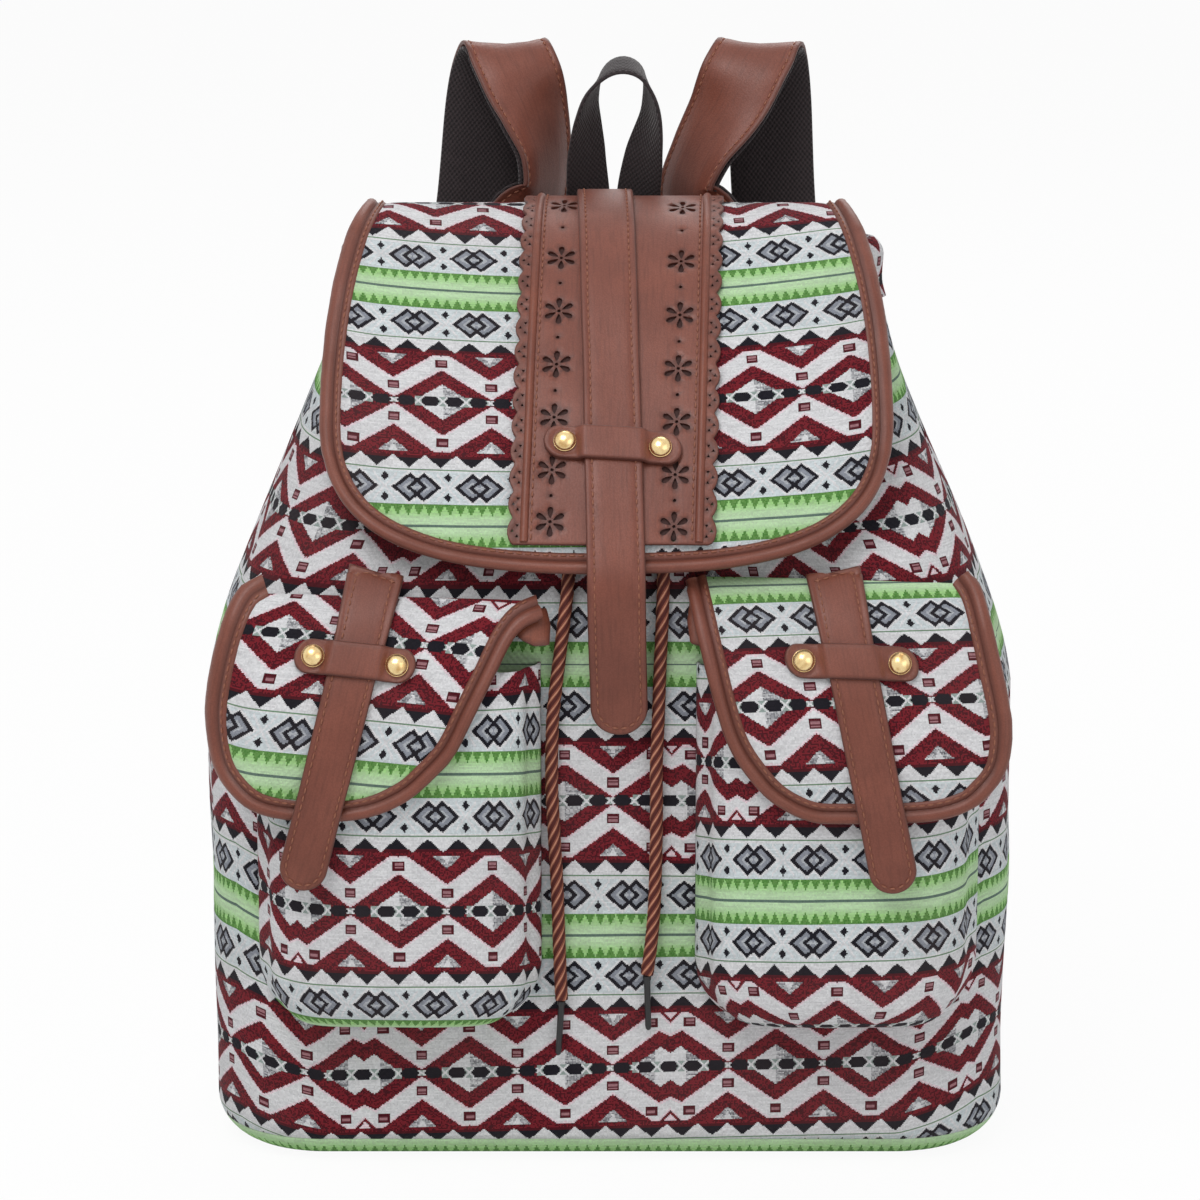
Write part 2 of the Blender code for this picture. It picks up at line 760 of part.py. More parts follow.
strap_frame = framed(flap_surface, (flap_strap_centre, 0.0), level, upright)
sheet("flap_strap", strap_outline(flap_strap_width, over_crest, -flap_strap_drop, flap_levels), strap_frame,
      flap_strap_low, flap_strap_high, flap_strap_width, brown_leather, levels=flap_levels)
keeper("flap_keeper", keeper_frame, flap_keeper_width, flap_keeper_height, flap_strap_width,
       flap_strap_low, leather + gap, flap_rivet_spread, brown_leather)
for side, word in ((-1, "left"), (1, "right")):
    rivet("flap_rivet_" + word, keeper_frame, side * flap_rivet_spread, 0.0,
          flap_strap_high + gap, lining_back - gap)


# Flat surfaces of the body that pieces are laid on
def front_skin(a, b):
    """The front of the body at a across and b up."""
    over = min(max(abs(a) - (half_width(b) - corner(b)), 0.0), 0.98 * corner(b))
    return Vector((a, front_line(b) + corner(b) - math.sqrt(corner(b) ** 2 - over * over), b))


def back_skin(a, b):
    """The back of the body at a across and b up, seen from behind, so that a runs to the left."""
    reach = half_width(b) - corner(b)
    over = min(max(abs(a) - reach, 0.0), 0.98 * corner(b))
    share = min(max((reach + a) / (2 * reach), 0.0), 1.0)
    full = body_fullness * 4 * share * (1 - share) * math.sin(math.pi * blend(0, neck_height, b))
    return Vector((-a, back_line(b) - corner(b) + math.sqrt(corner(b) ** 2 - over * over) + full, b))


snap_drop = flap_strap_drop - 0.016
snap_stud = laid(strap_frame, 0.0, -snap_drop, 0.0)
stud_face = flap_strap_low - gap
disc("flap_snap_stud", strap_frame, 0.0, -snap_drop, stud_face - snap_thickness, stud_face, steel_metal)
disc("flap_snap_socket", front_skin, snap_stud.x, snap_stud.z, gap, gap + snap_thickness, steel_metal)


# Front pockets
def pocket_seat(a, b):
    """Where a pocket's edge is sewn on: the front, with its bend towards the flanks eased."""
    over = max(abs(a) - (half_width(b) - corner(b)), 0.0)
    return Vector((a, front_line(b) + 0.9 * over * over / (2 * corner(b)), b))


def pocket_reach(height):
    """How far a pocket stands proud of the front at a height."""
    share = max(height - pocket_ease_height, 0.0) / (pocket_seam_top - pocket_ease_height)
    return pocket_depth * max(1 - share * share, 0.0)


def pocket_wall(centre, inward):
    """Grid of points over a pocket's outer skin, or over a layer inside it."""
    bend = pocket_corner - inward
    foot = pocket_bottom + inward
    rows = [foot + bend * (1 - math.cos(math.radians(angle))) for angle in (0, 22, 42, 60, 76, 90)]
    rows += [0.120, 0.150, shoulder_height, pocket_row, pocket_top]
    grid = []
    for height in rows:
        low = max(foot + bend - height, 0.0)
        half = pocket_width / 2 - inward - bend + math.sqrt(max(bend * bend - low * low, 0.0))
        rise = (1 - (low / bend) ** 3.2) ** (1 / 3.2)
        line = []
        for step in range(13):
            angle = math.pi * step / 12
            x = centre - half * math.copysign(abs(math.cos(angle)) ** (2 / 3.4), math.cos(angle))
            swell = math.sin(angle) ** (2 / 3.4) if 0 < step < 12 else 0.0
            proud = (pocket_reach(height) - inward) * rise * swell
            line.append(pocket_seat(x, height) - Vector((0, proud + gap, 0)))
        grid.append(line)
    return grid


def pocket_flap_surface(centre):
    """The lining of a pocket's flap, bent back at its sides and at its top."""
    def surface(a, b):
        over = max(abs(a - centre) - pocket_flap_flat, 0.0)
        back = over * over * 3.6 / pocket_width
        y = front_line(b) - max(pocket_reach(b) - back, 0.0) - pocket_flap_ease
        return Vector((a, y, b))
    return surface


# Outlines of the pocket flaps from the pocket's centre line and the flap's top, as shares of the
# flap's width and height: down the left side, across the bottom and up the right side.
left_flap_shape = ((-0.405, -0.045), (-0.457, -0.09), (-0.500, -0.20), (-0.535, -0.38), (-0.554, -0.58),
                   (-0.535, -0.76), (-0.487, -0.87), (-0.415, -0.95), (-0.310, -0.985), (-0.170, -0.99),
                   (-0.060, -0.965), (0.040, -0.90), (0.115, -0.81), (0.180, -0.71), (0.240, -0.55),
                   (0.300, -0.38), (0.350, -0.245), (0.390, -0.185), (0.427, -0.148))
right_flap_shape = ((-0.464, -0.07), (-0.450, -0.14), (-0.415, -0.33), (-0.375, -0.54), (-0.335, -0.69),
                    (-0.278, -0.81), (-0.210, -0.91), (-0.108, -0.985), (-0.005, -1.00), (0.240, -0.99),
                    (0.370, -0.945), (0.435, -0.87), (0.480, -0.77), (0.492, -0.63), (0.482, -0.51),
                    (0.461, -0.37), (0.440, -0.23), (0.415, -0.10), (0.380, -0.03))


def pocket_set(word, centre, shape, strap_top, slant, keeper_tilt, keeper_width):
    """A pocket with its flap, strap, keeper, rivets and snap."""
    wall("pocket_" + word, pocket_wall(centre, 0.0), pocket_wall(centre, fabric), woven_canvas)
    rivet_spread = keeper_width / 2 - pocket_rivet_inset
    surface = pocket_flap_surface(centre)
    line = smooth_line([(centre + x * pocket_flap_width, pocket_flap_top + z * pocket_flap_height, 0)
                        for x, z in shape], 24)
    line = [Vector(spot[:2]) for spot in line]
    right, up = leaning(slant)
    strap_spot = (centre + strap_top, pocket_flap_top)
    frame = framed(surface, strap_spot, right, up)
    tilt = math.radians(keeper_tilt)
    middle = (strap_spot[0] - pocket_keeper_drop * up[0], strap_spot[1] - pocket_keeper_drop * up[1])
    keeper_place = framed(surface, middle, (math.cos(tilt), math.sin(tilt)), up)
    spots = [(middle[0] + side * rivet_spread * math.cos(tilt),
              middle[1] + side * rivet_spread * math.sin(tilt)) for side in (-1, 1)]
    holes = [circle(spot, rivet_shank + gap) for spot in spots]
    flap_rows = [pocket_flap_top - 0.008 * step for step in range(1, 12)]
    sheet("pocket_flap_" + word, inset_line(line, binding_width + gap), surface, lining_back, fabric, 0.019,
          flap_canvas, holes, levels=flap_rows)
    binding("pocket_flap_binding_" + word, inset_line(line, binding_width / 2), surface, binding_low,
            binding_high, brown_leather)

    def over_binding(u, v):
        return strap_step * blend(-pocket_step_start, -pocket_step_start - 0.010, v)
    strap_levels = [-0.010 * step for step in range(13)]
    sheet("pocket_strap_" + word,
          strap_outline(pocket_strap_width, pocket_strap_rise, -pocket_strap_length, strap_levels), frame,
          patch_low, patch_high, pocket_strap_width, brown_leather, lift=over_binding, levels=strap_levels)
    keeper("pocket_keeper_" + word, keeper_place, keeper_width, pocket_keeper_height,
           pocket_strap_width, patch_low, leather + gap, rivet_spread, brown_leather)
    for side, edge_word in ((-1, "a"), (1, "b")):
        rivet("pocket_rivet_" + word + "_" + edge_word, keeper_place, side * rivet_spread, 0.0,
              patch_high + gap, lining_back - gap)
    drop = pocket_strap_length - 0.012
    socket_low = 2 * gap - pocket_flap_ease
    stud_high = patch_low + strap_step - gap
    disc("pocket_snap_socket_" + word, frame, 0.0, -drop, socket_low, socket_low + pocket_snap_thickness,
         steel_metal)
    stud_low = stud_high - pocket_snap_thickness
    disc("pocket_snap_stud_" + word, frame, 0.0, -drop, stud_low, stud_high, steel_metal)


pocket_set("left", left_pocket_centre, left_flap_shape, -0.0065, -14.6, -6.0, left_keeper_width)
pocket_set("right", right_pocket_centre, right_flap_shape, -0.0040, 11.9, -1.6, right_keeper_width)


# Drawcord: two tails that leave the casing through eyelets and hang down the front to black tips.
# Each place holds X, distance in front of the body and height.
left_tail = ((-0.0210, 0.0160, 0.3435), (-0.0209, 0.0170, 0.3400), (-0.0208, 0.0130, 0.3350),
             (-0.0205, 0.0068, 0.3200), (-0.0196, 0.0060, 0.3000), (-0.0184, 0.0052, 0.2800),
             (-0.0171, 0.0046, 0.2620), (-0.0163, 0.0042, 0.2470), (-0.0166, 0.0038, 0.2370),
             (-0.0182, 0.0034, 0.2240), (-0.0202, 0.0034, 0.2070), (-0.0223, 0.0034, 0.1880),
             (-0.0229, 0.0034, 0.1660), (-0.0224, 0.0034, 0.1460), (-0.0211, 0.0034, 0.1230),
             (-0.0202, 0.0034, 0.0980), (-0.0192, 0.0034, 0.0710))
right_tail = ((0.0119, 0.0160, 0.3435), (0.0121, 0.0170, 0.3400), (0.0124, 0.0130, 0.3350),
              (0.0134, 0.0068, 0.3200), (0.0152, 0.0060, 0.3000), (0.0175, 0.0052, 0.2800),
              (0.0193, 0.0046, 0.2620), (0.0205, 0.0042, 0.2470), (0.0205, 0.0038, 0.2370),
              (0.0200, 0.0034, 0.2240), (0.0194, 0.0034, 0.2070), (0.0188, 0.0034, 0.1880),
              (0.0180, 0.0034, 0.1660), (0.0181, 0.0034, 0.1460), (0.0178, 0.0034, 0.1230),
              (0.0168, 0.0034, 0.1030), (0.0146, 0.0034, 0.0815))


def nearest_crest(x):
    """Turn across the front where a gather of the neck stands out, nearest to a distance across."""
    reach = half_width(neck_height) - corner(neck_height)
    wanted = gather_count * girth_share((x + reach) / (2 * reach))
    flat, bend, flank = side_lengths(neck_height)
    girth = 2 * flat + 4 * bend + 2 * flank
    return round(wanted) / gather_count * girth / flat


for word, places, tip_shift in (("left", left_tail, -0.0032), ("right", right_tail, 0.0006)):
    turn = nearest_crest(places[0][0])
    wall_foot = skin(turn, casing_bottom, -gap - casing_wall)
    wall_head = skin(turn, cord_height, casing_middle - casing_room - casing_wall)
    face = wall_foot.lerp(wall_head, eyelet_share)
    axis = (wall_head - wall_foot).cross(Vector((-1, 0, 0))).normalized()
    hole = cord_radius + 2 * gap
    rim = [(hole, 0), (eyelet_radius, 0), (eyelet_radius - eyelet_rim / 2, eyelet_rim), (hole, eyelet_rim)]
    turned("cord_eyelet_" + word, rim, face + axis * gap, axis, gold_metal, ring_shape=True)
    route = [tuple(face + axis * reach) for reach in (layer_gap, 0.0025, 0.005)]
    route += [(x, front_line(height) - ahead, height) for x, ahead, height in places]
    tail = smooth_line(route[:7], 14)[:-1] + smooth_line(route[6:], 22)
    rope("cord_" + word, tail, cord_radius, twisted_cord)
    along = (tail[-1] - tail[-2]).normalized()
    start = tail[-1] + along * gap
    end = start + Vector((tip_shift, 0, -cord_tip_length))
    axis = (end - start).normalized()
    turned("cord_tip_" + word, [(cord_tip_radius, 0), (cord_tip_radius, cord_tip_length - 0.001),
                                (cord_tip_radius * 0.6, cord_tip_length)], start, axis, black_tip, sides=8)


# Back: haul loop and shoulder straps, sewn to the back panel under a leather yoke
def path_and_sides(stations, count):
    """Evenly spaced points and cross directions from hand-placed stations."""
    line = smooth_line([place for place, side in stations], count)
    sides = []
    for point in line:
        near = sorted(((Vector(place) - point).length, side) for place, side in stations)[:2]
        share = near[0][0] / (near[0][0] + near[1][0])
        one, two = (Vector(side).normalized() for distance, side in near)
        sides.append(one.lerp(two, share))
    return line, sides


haul_seat = gap + webbing / 2
strap_seat = gap + leather + gap / 2


def stations_at(rows):
    """Places for a strap from rows of X, distance behind the neck's back line, height above the neck
    and cross direction; a first row on the back panel gives its distance from that panel's face."""
    places = []
    for x, behind, rise, side in rows:
        height = neck_height + rise
        face = back_face(height) if rise < -0.030 else back_line(neck_height)
        places.append(((x, face + behind, height), side))
    return tuple(places)


haul_rows = (
    (-0.009, haul_seat, -0.050, (1, 0, 0)), (-0.009, haul_seat, -0.035, (1, 0, 0)),
    (-0.009, 0.0085, -0.022, (1, 0, 0)), (-0.009, 0.0140, -0.010, (1, 0, 0)),
    (-0.009, 0.0170, 0.000, (1, 0, 0)),
    (-0.009, 0.0170, 0.010, (1, 0.05, 0)), (-0.009, 0.0145, 0.022, (0.9, 0.4, 0)),
    (-0.0097, 0.0090, 0.039, (0.6, 0.8, 0)), (-0.0085, 0.0040, 0.061, (0.2, 1, 0)),
    (-0.0020, 0.0025, 0.0733, (0, 1, 0)), (0.0065, 0.0020, 0.0770, (0, 1, 0)),
    (0.0140, 0.0025, 0.0713, (0, 1, 0)),
    (0.0170, 0.0040, 0.056, (-0.2, 1, 0)), (0.0140, 0.0090, 0.037, (-0.6, 0.8, 0)),
    (0.0120, 0.0145, 0.022, (-0.9, 0.4, 0)), (0.0120, 0.0170, 0.010, (-1, 0.05, 0)),
    (0.0120, 0.0170, 0.000, (-1, 0, 0)), (0.0120, 0.0140, -0.010, (-1, 0, 0)),
    (0.0120, 0.0085, -0.022, (-1, 0, 0)),
    (0.0120, haul_seat, -0.035, (-1, 0, 0)), (0.0120, haul_seat, -0.050, (-1, 0, 0)))
haul_line, haul_sides = path_and_sides(stations_at(haul_rows), 37)
ribbon("haul_loop", haul_line, haul_sides, haul_width, -webbing / 2, webbing / 2, dark_webbing)

left_rows = (
    (-0.0395, strap_seat, -0.050, (1, 0, 0)), (-0.0395, strap_seat, -0.035, (1, 0, 0)),
    (-0.0395, 0.0095, -0.022, (1, 0, 0)), (-0.0390, 0.0155, -0.010, (1, 0, 0)),
    (-0.0380, 0.0190, 0.000, (1, 0.1, 0)),
    (-0.0350, 0.0215, 0.010, (0.87, 0.5, 0)), (-0.0280, 0.0255, 0.021, (0.5, 0.87, 0)),
    (-0.0275, 0.0265, 0.038, (0.55, 0.83, 0)), (-0.0320, 0.0270, 0.055, (0.8, 0.6, 0)),
    (-0.0375, 0.0295, 0.070, (1, 0.2, 0)), (-0.0430, 0.0385, 0.0785, (1, 0, 0)),
    (-0.0470, 0.0475, 0.072, (1, 0, 0)),
    (-0.0510, 0.0515, 0.055, (1, 0, 0)), (-0.0550, 0.0520, 0.015, (1, 0, 0)),
    (-0.0610, 0.0510, -0.029, (1, 0, 0)))
right_rows = (
    (0.0425, strap_seat, -0.050, (1, 0, 0)), (0.0425, strap_seat, -0.035, (1, 0, 0)),
    (0.0425, 0.0095, -0.022, (1, 0, 0)), (0.0420, 0.0155, -0.010, (1, 0, 0)),
    (0.0410, 0.0190, 0.000, (1, -0.1, 0)),
    (0.0385, 0.0215, 0.010, (0.87, -0.5, 0)), (0.0325, 0.0255, 0.021, (0.55, -0.83, 0)),
    (0.0385, 0.0265, 0.038, (0.65, -0.76, 0)), (0.0485, 0.0270, 0.055, (0.85, -0.5, 0)),
    (0.0555, 0.0295, 0.070, (1, -0.2, 0)), (0.0620, 0.0385, 0.0785, (1, 0, 0)),
    (0.0650, 0.0475, 0.072, (1, 0, 0)),
    (0.0670, 0.0515, 0.055, (1, 0, 0)), (0.0690, 0.0520, 0.015, (1, 0, 0)),
    (0.0730, 0.0510, -0.029, (1, 0, 0)))
# Lower stretches of the straps behind the back panel, as places
left_fall = (((-0.073, 0.1110, 0.255), (1, 0, 0)), ((-0.087, 0.1065, 0.205), (1, 0, 0)))
right_fall = (((0.081, 0.1110, 0.255), (1, 0, 0)), ((0.090, 0.1065, 0.205), (1, 0, 0)))

strap_split = layer_gap / 2
webbing_back = -webbing - strap_split
tail_clearance = webbing / 2 + gap - webbing_back


def boxes_joined(name, boxes, frame, material):
    """Boxes that overlap, joined into one body; each box is two corners in the frame's own axes."""
    parts = []
    for low, high in boxes:
        mesh = bpy.data.meshes.new(name)
        body = bmesh.new()
        bmesh.ops.create_cube(body, size=1.0)
        for corner_point in body.verts:
            share = corner_point.co + Vector((0.5, 0.5, 0.5))
            spot = [low[axis] + (high[axis] - low[axis]) * share[axis] for axis in range(3)]
            corner_point.co = frame[0] + frame[1] * spot[0] + frame[2] * spot[1] + frame[3] * spot[2]
        bmesh.ops.recalc_face_normals(body, faces=body.faces)
        body.to_mesh(mesh)
        body.free()
        solid = bpy.data.objects.new(name + "_piece", mesh)
        bpy.context.scene.collection.objects.link(solid)
        parts.append(solid)
    whole = parts[0]
    for extra in parts[1:]:
        union = whole.modifiers.new("joined", "BOOLEAN")
        union.operation = "UNION"
        union.solver = "EXACT"
        union.object = extra
    shape = bpy.data.meshes.new_from_object(whole.evaluated_get(bpy.context.evaluated_depsgraph_get()))
    for solid in parts:
        bpy.data.objects.remove(solid, do_unlink=True)
    shape.name = name
    shape.materials.clear()
    shape.materials.append(material)
    joined = bpy.data.objects.new(name, shape)
    bpy.context.scene.collection.objects.link(joined)
    return joined


for word, side, rows, fall in (("left", -1, left_rows, left_fall), ("right", 1, right_rows, right_fall)):
    anchor = Vector((side * anchor_spread, 0.0, anchor_seat))
    anchor.y = back_line(anchor.z) + gap + leather + 3 * gap + webbing / 2
    top = Vector((side * 0.097, 0.1000, 0.166))
    slope = (anchor - top).normalized()
    across = Vector((1, 0, 0))
    face = across.cross(slope).normalized()
    across = slope.cross(face).normalized()
    lower_line = [top + (anchor - top) * step / 4 for step in range(5)]
    ribbon("lower_webbing_" + word, lower_line, [across] * 5, lower_webbing_width, -webbing / 2, webbing / 2,
           dark_webbing)

    tail = [(tuple(top + face * tail_clearance - slope * 0.006), tuple(across)),
            (tuple(top + face * tail_clearance + slope * 0.014), tuple(across)),
            (tuple(top + face * tail_clearance + slope * 0.030), tuple(across))]
    line, sides = path_and_sides(stations_at(rows) + fall + tuple(tail), 54)
    ribbon("shoulder_strap_" + word, line, sides, shoulder_width, strap_split, strap_split + leather,
           brown_leather)
    ribbon("strap_webbing_" + word, line, sides, shoulder_width, webbing_back, -strap_split, dark_webbing)

    room = webbing / 2 + gap
    half = lower_webbing_width / 2 + gap
    rail = half + slider_rail
    thick = room + slider_bar
    centre = top + (anchor - top) * slider_place
    reach = slider_length / 2
    bar = 0.0045
    frame = (centre, across, slope, face)
    end = half + slider_rail / 2
    face_high = thick - gap
    boxes_joined("strap_slider_" + word, (
        ((-rail, -reach, -thick), (-half, reach, thick)), ((half, -reach, -thick), (rail, reach, thick)),
        ((-end, gap - reach, room), (end, gap - reach + bar, face_high)),
        ((-end, reach - bar - gap, room), (end, reach - gap, face_high)),
        ((-end, -bar / 2, -face_high), (end, bar / 2, -room))), frame, black_slider)

    tab = [Vector((-anchor.x + u * anchor_width / 2, v)) for u, v in
           ((-1, anchor_bottom), (1, anchor_bottom), (0.62, anchor_top), (-0.62, anchor_top))]
    sheet("anchor_tab_" + word, tab, back_skin, gap, gap + leather, 0.006, brown_leather)

yoke = [Vector((x * yoke_width / 2, yoke_bottom + (yoke_top - yoke_bottom) * z)) for x, z in
        ((-1, 0.25), (-0.9, 0), (-0.3, 0), (0.3, 0), (0.9, 0), (1, 0.25), (1, 1), (0.3, 1), (-0.3, 1),
         (-1, 1))]


def back_plane(a, b):
    """The back panel's outermost face, level across, seen from behind."""
    return Vector((-a, back_face(b), b))


sheet("strap_yoke", yoke, back_plane, yoke_seat, yoke_seat + leather, 0.02, brown_leather)
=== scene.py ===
# Woven canvas drawstring backpack with leather trim: finished surfaces, light and camera
# Metres, +Z up. The front faces -Y and the base rests on Z = 0.
import math
from math import copysign, cos, exp, hypot, pi, radians, sin, sqrt

import bpy
import bmesh
import numpy as np
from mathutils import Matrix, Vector, noise
from mathutils.geometry import delaunay_2d_cdt


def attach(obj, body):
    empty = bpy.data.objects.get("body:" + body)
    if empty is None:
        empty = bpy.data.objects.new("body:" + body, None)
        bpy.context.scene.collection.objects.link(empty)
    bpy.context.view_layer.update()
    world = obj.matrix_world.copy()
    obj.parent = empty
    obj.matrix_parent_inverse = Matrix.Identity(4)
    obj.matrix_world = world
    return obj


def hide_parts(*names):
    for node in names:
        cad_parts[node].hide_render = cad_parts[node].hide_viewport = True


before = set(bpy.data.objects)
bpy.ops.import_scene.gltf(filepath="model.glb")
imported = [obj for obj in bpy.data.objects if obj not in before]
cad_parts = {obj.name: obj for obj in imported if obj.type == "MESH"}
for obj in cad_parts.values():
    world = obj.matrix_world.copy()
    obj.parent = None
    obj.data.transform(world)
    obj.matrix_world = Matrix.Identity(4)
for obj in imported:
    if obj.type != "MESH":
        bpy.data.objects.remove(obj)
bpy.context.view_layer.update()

# Clearances and sheet stock, as in the part
gap = 0.0003
layer_gap = 0.0007
fabric = 0.0024
leather = 0.0020
binding_width = 0.0084
binding_height = 0.0044
webbing = 0.0016

# Body of the bag
body_width = 0.320
body_depth = 0.145
neck_width = 0.208
neck_depth = 0.037
neck_height = 0.347
neck_lean = 0.011
shoulder_height = 0.185
lean_height = 0.225
corner_radius = 0.045
base_edge_radius = 0.018
base_rim_height = 0.010
body_fullness = 0.003
gather_count = 14
gather_depth = 0.0035
back_gather_depth = 0.0014
casing_drop = 0.013
casing_bottom = neck_height - casing_drop
casing_wall = 0.0016
casing_slack = 0.0007
casing_arch = 0.006
cord_radius = 0.0026

# Main flap
flap_centre = -0.0015
flap_half_width = 0.1115
flap_wide_drop = 0.115
flap_roundness = 2.8
flap_top_half_width = 0.098
flap_drop = 0.1815
flap_back_hem = 0.060
lace_half_width = 0.0405
lace_lean = 1.8
lace_centre = 0.0058
lace_drop = 0.1710
scallop_pitch = 0.0107
scallop_depth = 0.0022
flower_radius = 0.0062
flower_spread = 0.0257
flower_drops = (0.0112, 0.0451, 0.0714, 0.0958, 0.1194, 0.1417, 0.1628)
flower_shift = 0.0010
flap_strap_width = 0.0225
flap_strap_centre = -0.0019
flap_strap_lean = 1.3
flap_strap_drop = 0.2455
flap_strap_margin = 0.0028
over_crest = 0.0365
flap_keeper_width = 0.0540
flap_keeper_height = 0.0135
flap_keeper_drop = 0.1311
flap_keeper_tilt = -4.0
flap_rivet_spread = 0.0185

# Front pockets
pocket_width = 0.112
pocket_depth = 0.027
pocket_bottom = 0.062
pocket_top = 0.226
pocket_corner = 0.026
left_pocket_centre = -0.083
right_pocket_centre = 0.0895
pocket_flap_width = 0.130
pocket_flap_height = 0.0945
pocket_flap_top = 0.246
pocket_ease_height = 0.170
pocket_seam_top = 0.2405
pocket_flap_ease = 0.0018
pocket_flap_flat = 0.050
pocket_strap_rise = -0.004
pocket_strap_margin = 0.0024
pocket_strap_width = 0.0185
pocket_strap_length = 0.124
pocket_step_start = 0.0745
left_keeper_width = 0.0470
right_keeper_width = 0.0515
pocket_keeper_height = 0.0122
pocket_keeper_drop = 0.0345
pocket_rivet_inset = 0.00725
pocket_sag = 0.0175
pocket_sag_foot = 0.175
rivet_radius = 0.0045
rivet_height = 0.0023

# Back straps and haul loop
haul_width = 0.019
shoulder_width = 0.035
yoke_width = 0.124
yoke_bottom = 0.290
yoke_top = 0.311
lower_webbing_width = 0.025
anchor_spread = 0.104
anchor_seat = 0.034
anchor_width = 0.034
anchor_bottom = 0.014
anchor_top = 0.048
yoke_seat = 3 * gap + leather + webbing + gap

# Stripe pattern: sizes of one repeat, and where its bead rows run on each piece
repeat_width = 0.122
repeat_height = 0.111
body_bead_height = 0.0408
body_bead_shift = 0.0750
flap_bead_shift = 0.0843
left_pocket_bead = (0.1149, 0.0181)
right_pocket_bead = (0.0636, 0.020)
left_flap_bead = (0.2194, 0.0633, -0.100, -0.27)
right_flap_bead = (0.1984, 0.0880, 0.040, 0.14)

# Places down the main flap from its crest, and how far above its bead row the stripes are there
flap_row_drops = (-0.2000, -0.1627, -0.1343, -0.1105, -0.0889, -0.0594, -0.0337, -0.0264, 0.0600)
flap_row_places = (-0.0957, -0.0558, -0.0245, 0.0006, 0.0250, 0.0570, 0.0830, 0.0893, 0.1670)


def tone(red, green, blue):
    """A colour read on a screen, from 0 to 255, as a shader takes it."""
    line = [value / 255 for value in (red, green, blue)]
    line = [value / 12.92 if value <= 0.04045 else ((value + 0.055) / 1.055) ** 2.4 for value in line]
    return (*line, 1.0)


thread_white = tone(234, 234, 236)
thread_pink = tone(243, 222, 229)
thread_red = tone(126, 34, 44)
thread_dark_red = tone(84, 22, 32)
thread_black = tone(30, 29, 37)
thread_grey = tone(150, 155, 165)
thread_pale_grey = tone(190, 194, 200)
thread_sky = tone(219, 228, 231)
thread_light_green = tone(166, 220, 136)
thread_dark_green = tone(72, 130, 56)
thread_pale_green = tone(206, 236, 194)

def in_scene(name, data):
    """A new object in the scene."""
    piece = bpy.data.objects.new(name, data)
    bpy.context.scene.collection.objects.link(piece)
    return piece


# Camera at the photograph's place
view = bpy.data.cameras.new("photo_view")
view.sensor_width = 36
view.lens = 135
view.clip_end = 20
camera = in_scene("photo_view", view)
camera.location = (-0.004, -1.7665, 0.6554)
camera.rotation_euler = (radians(76), 0, 0)
bpy.context.scene.camera = camera


# Numbers in node trees
def math_step(operation):
    """A method that works out a new measure from one or two by a math node."""
    def method(self, *others):
        node = self.tree.nodes.new("ShaderNodeMath")
        node.operation = operation
        for index, value in enumerate((self,) + others):
            if isinstance(value, Measure):
                self.tree.links.new(value.socket, node.inputs[index])
            else:
                node.inputs[index].default_value = value
        return Measure(self.tree, node.outputs[0])
    return method


class Measure:
    """A number inside a node tree; sums and comparisons add nodes to it. Its size has no sign, and
    comparisons give 1 where they hold and 0 elsewhere."""

    def __init__(self, tree, socket):
        self.tree = tree
        self.socket = socket

    __add__ = math_step("ADD")
    __sub__ = math_step("SUBTRACT")
    __mul__ = math_step("MULTIPLY")
    __truediv__ = math_step("DIVIDE")
    size = math_step("ABSOLUTE")
    whole = math_step("FLOOR")
    wave = math_step("SINE")
    wrapped = math_step("FLOORED_MODULO")
    least = math_step("MINIMUM")
    most = math_step("MAXIMUM")
    below = math_step("LESS_THAN")
    above = math_step("GREATER_THAN")

    def within(self, low, high):
        """1 between two values, 0 elsewhere."""
        return self.above(low) * self.below(high)

    def ramp(self, low, high):
        """0 at one value and 1 at another, held outside them."""
        node = added(self.tree, "ShaderNodeMapRange", {"From Min": low, "From Max": high}, Value=self.socket)
        node.interpolation_type = "SMOOTHSTEP"
        return Measure(self.tree, node.outputs["Result"])


def added(tree, kind, values=(), **links):
    """A node with some values set and some inputs linked, each by its name."""
    node = tree.nodes.new(kind)
    for label, value in dict(values).items():
        node.inputs[label].default_value = value
    for label, socket in links.items():
        tree.links.new(socket, node.inputs[label])
    return node


def painted(tree, mask, under, over):
    """A colour laid over another where a mask is 1; each is plain or a node's output."""
    node = tree.nodes.new("ShaderNodeMix")
    node.data_type = "RGBA"
    for label, value in (("A", under), ("B", over)):
        socket = [item for item in node.inputs if item.name == label and item.type == "RGBA"][0]
        if isinstance(value, tuple):
            socket.default_value = value
        else:
            tree.links.new(value, socket)
    if isinstance(mask, Measure):
        tree.links.new(mask.socket, node.inputs["Factor"])
    else:
        node.inputs["Factor"].default_value = mask
    return [item for item in node.outputs if item.type == "RGBA"][0]


class Layers:
    """A colour laid up in layers, each where its mask is 1."""

    def __init__(self, tree, colour):
        self.tree = tree
        self.colour = colour

    def lay(self, mask, over):
        """One more layer."""
        self.colour = painted(self.tree, mask, self.colour, over)


def new_group(name, kind, inputs, outputs):
    """An empty node group with named sockets, and its input and output nodes."""
    tree = bpy.data.node_groups.new(name, kind)
    for label, value_kind, value in inputs:
        socket = tree.interface.new_socket(name=label, in_out="INPUT", socket_type="NodeSocket" + value_kind)
        if value is not None:
            socket.default_value = value
    for label, value_kind in outputs:
        tree.interface.new_socket(name=label, in_out="OUTPUT", socket_type="NodeSocket" + value_kind)
    return tree, tree.nodes.new("NodeGroupInput"), tree.nodes.new("NodeGroupOutput")


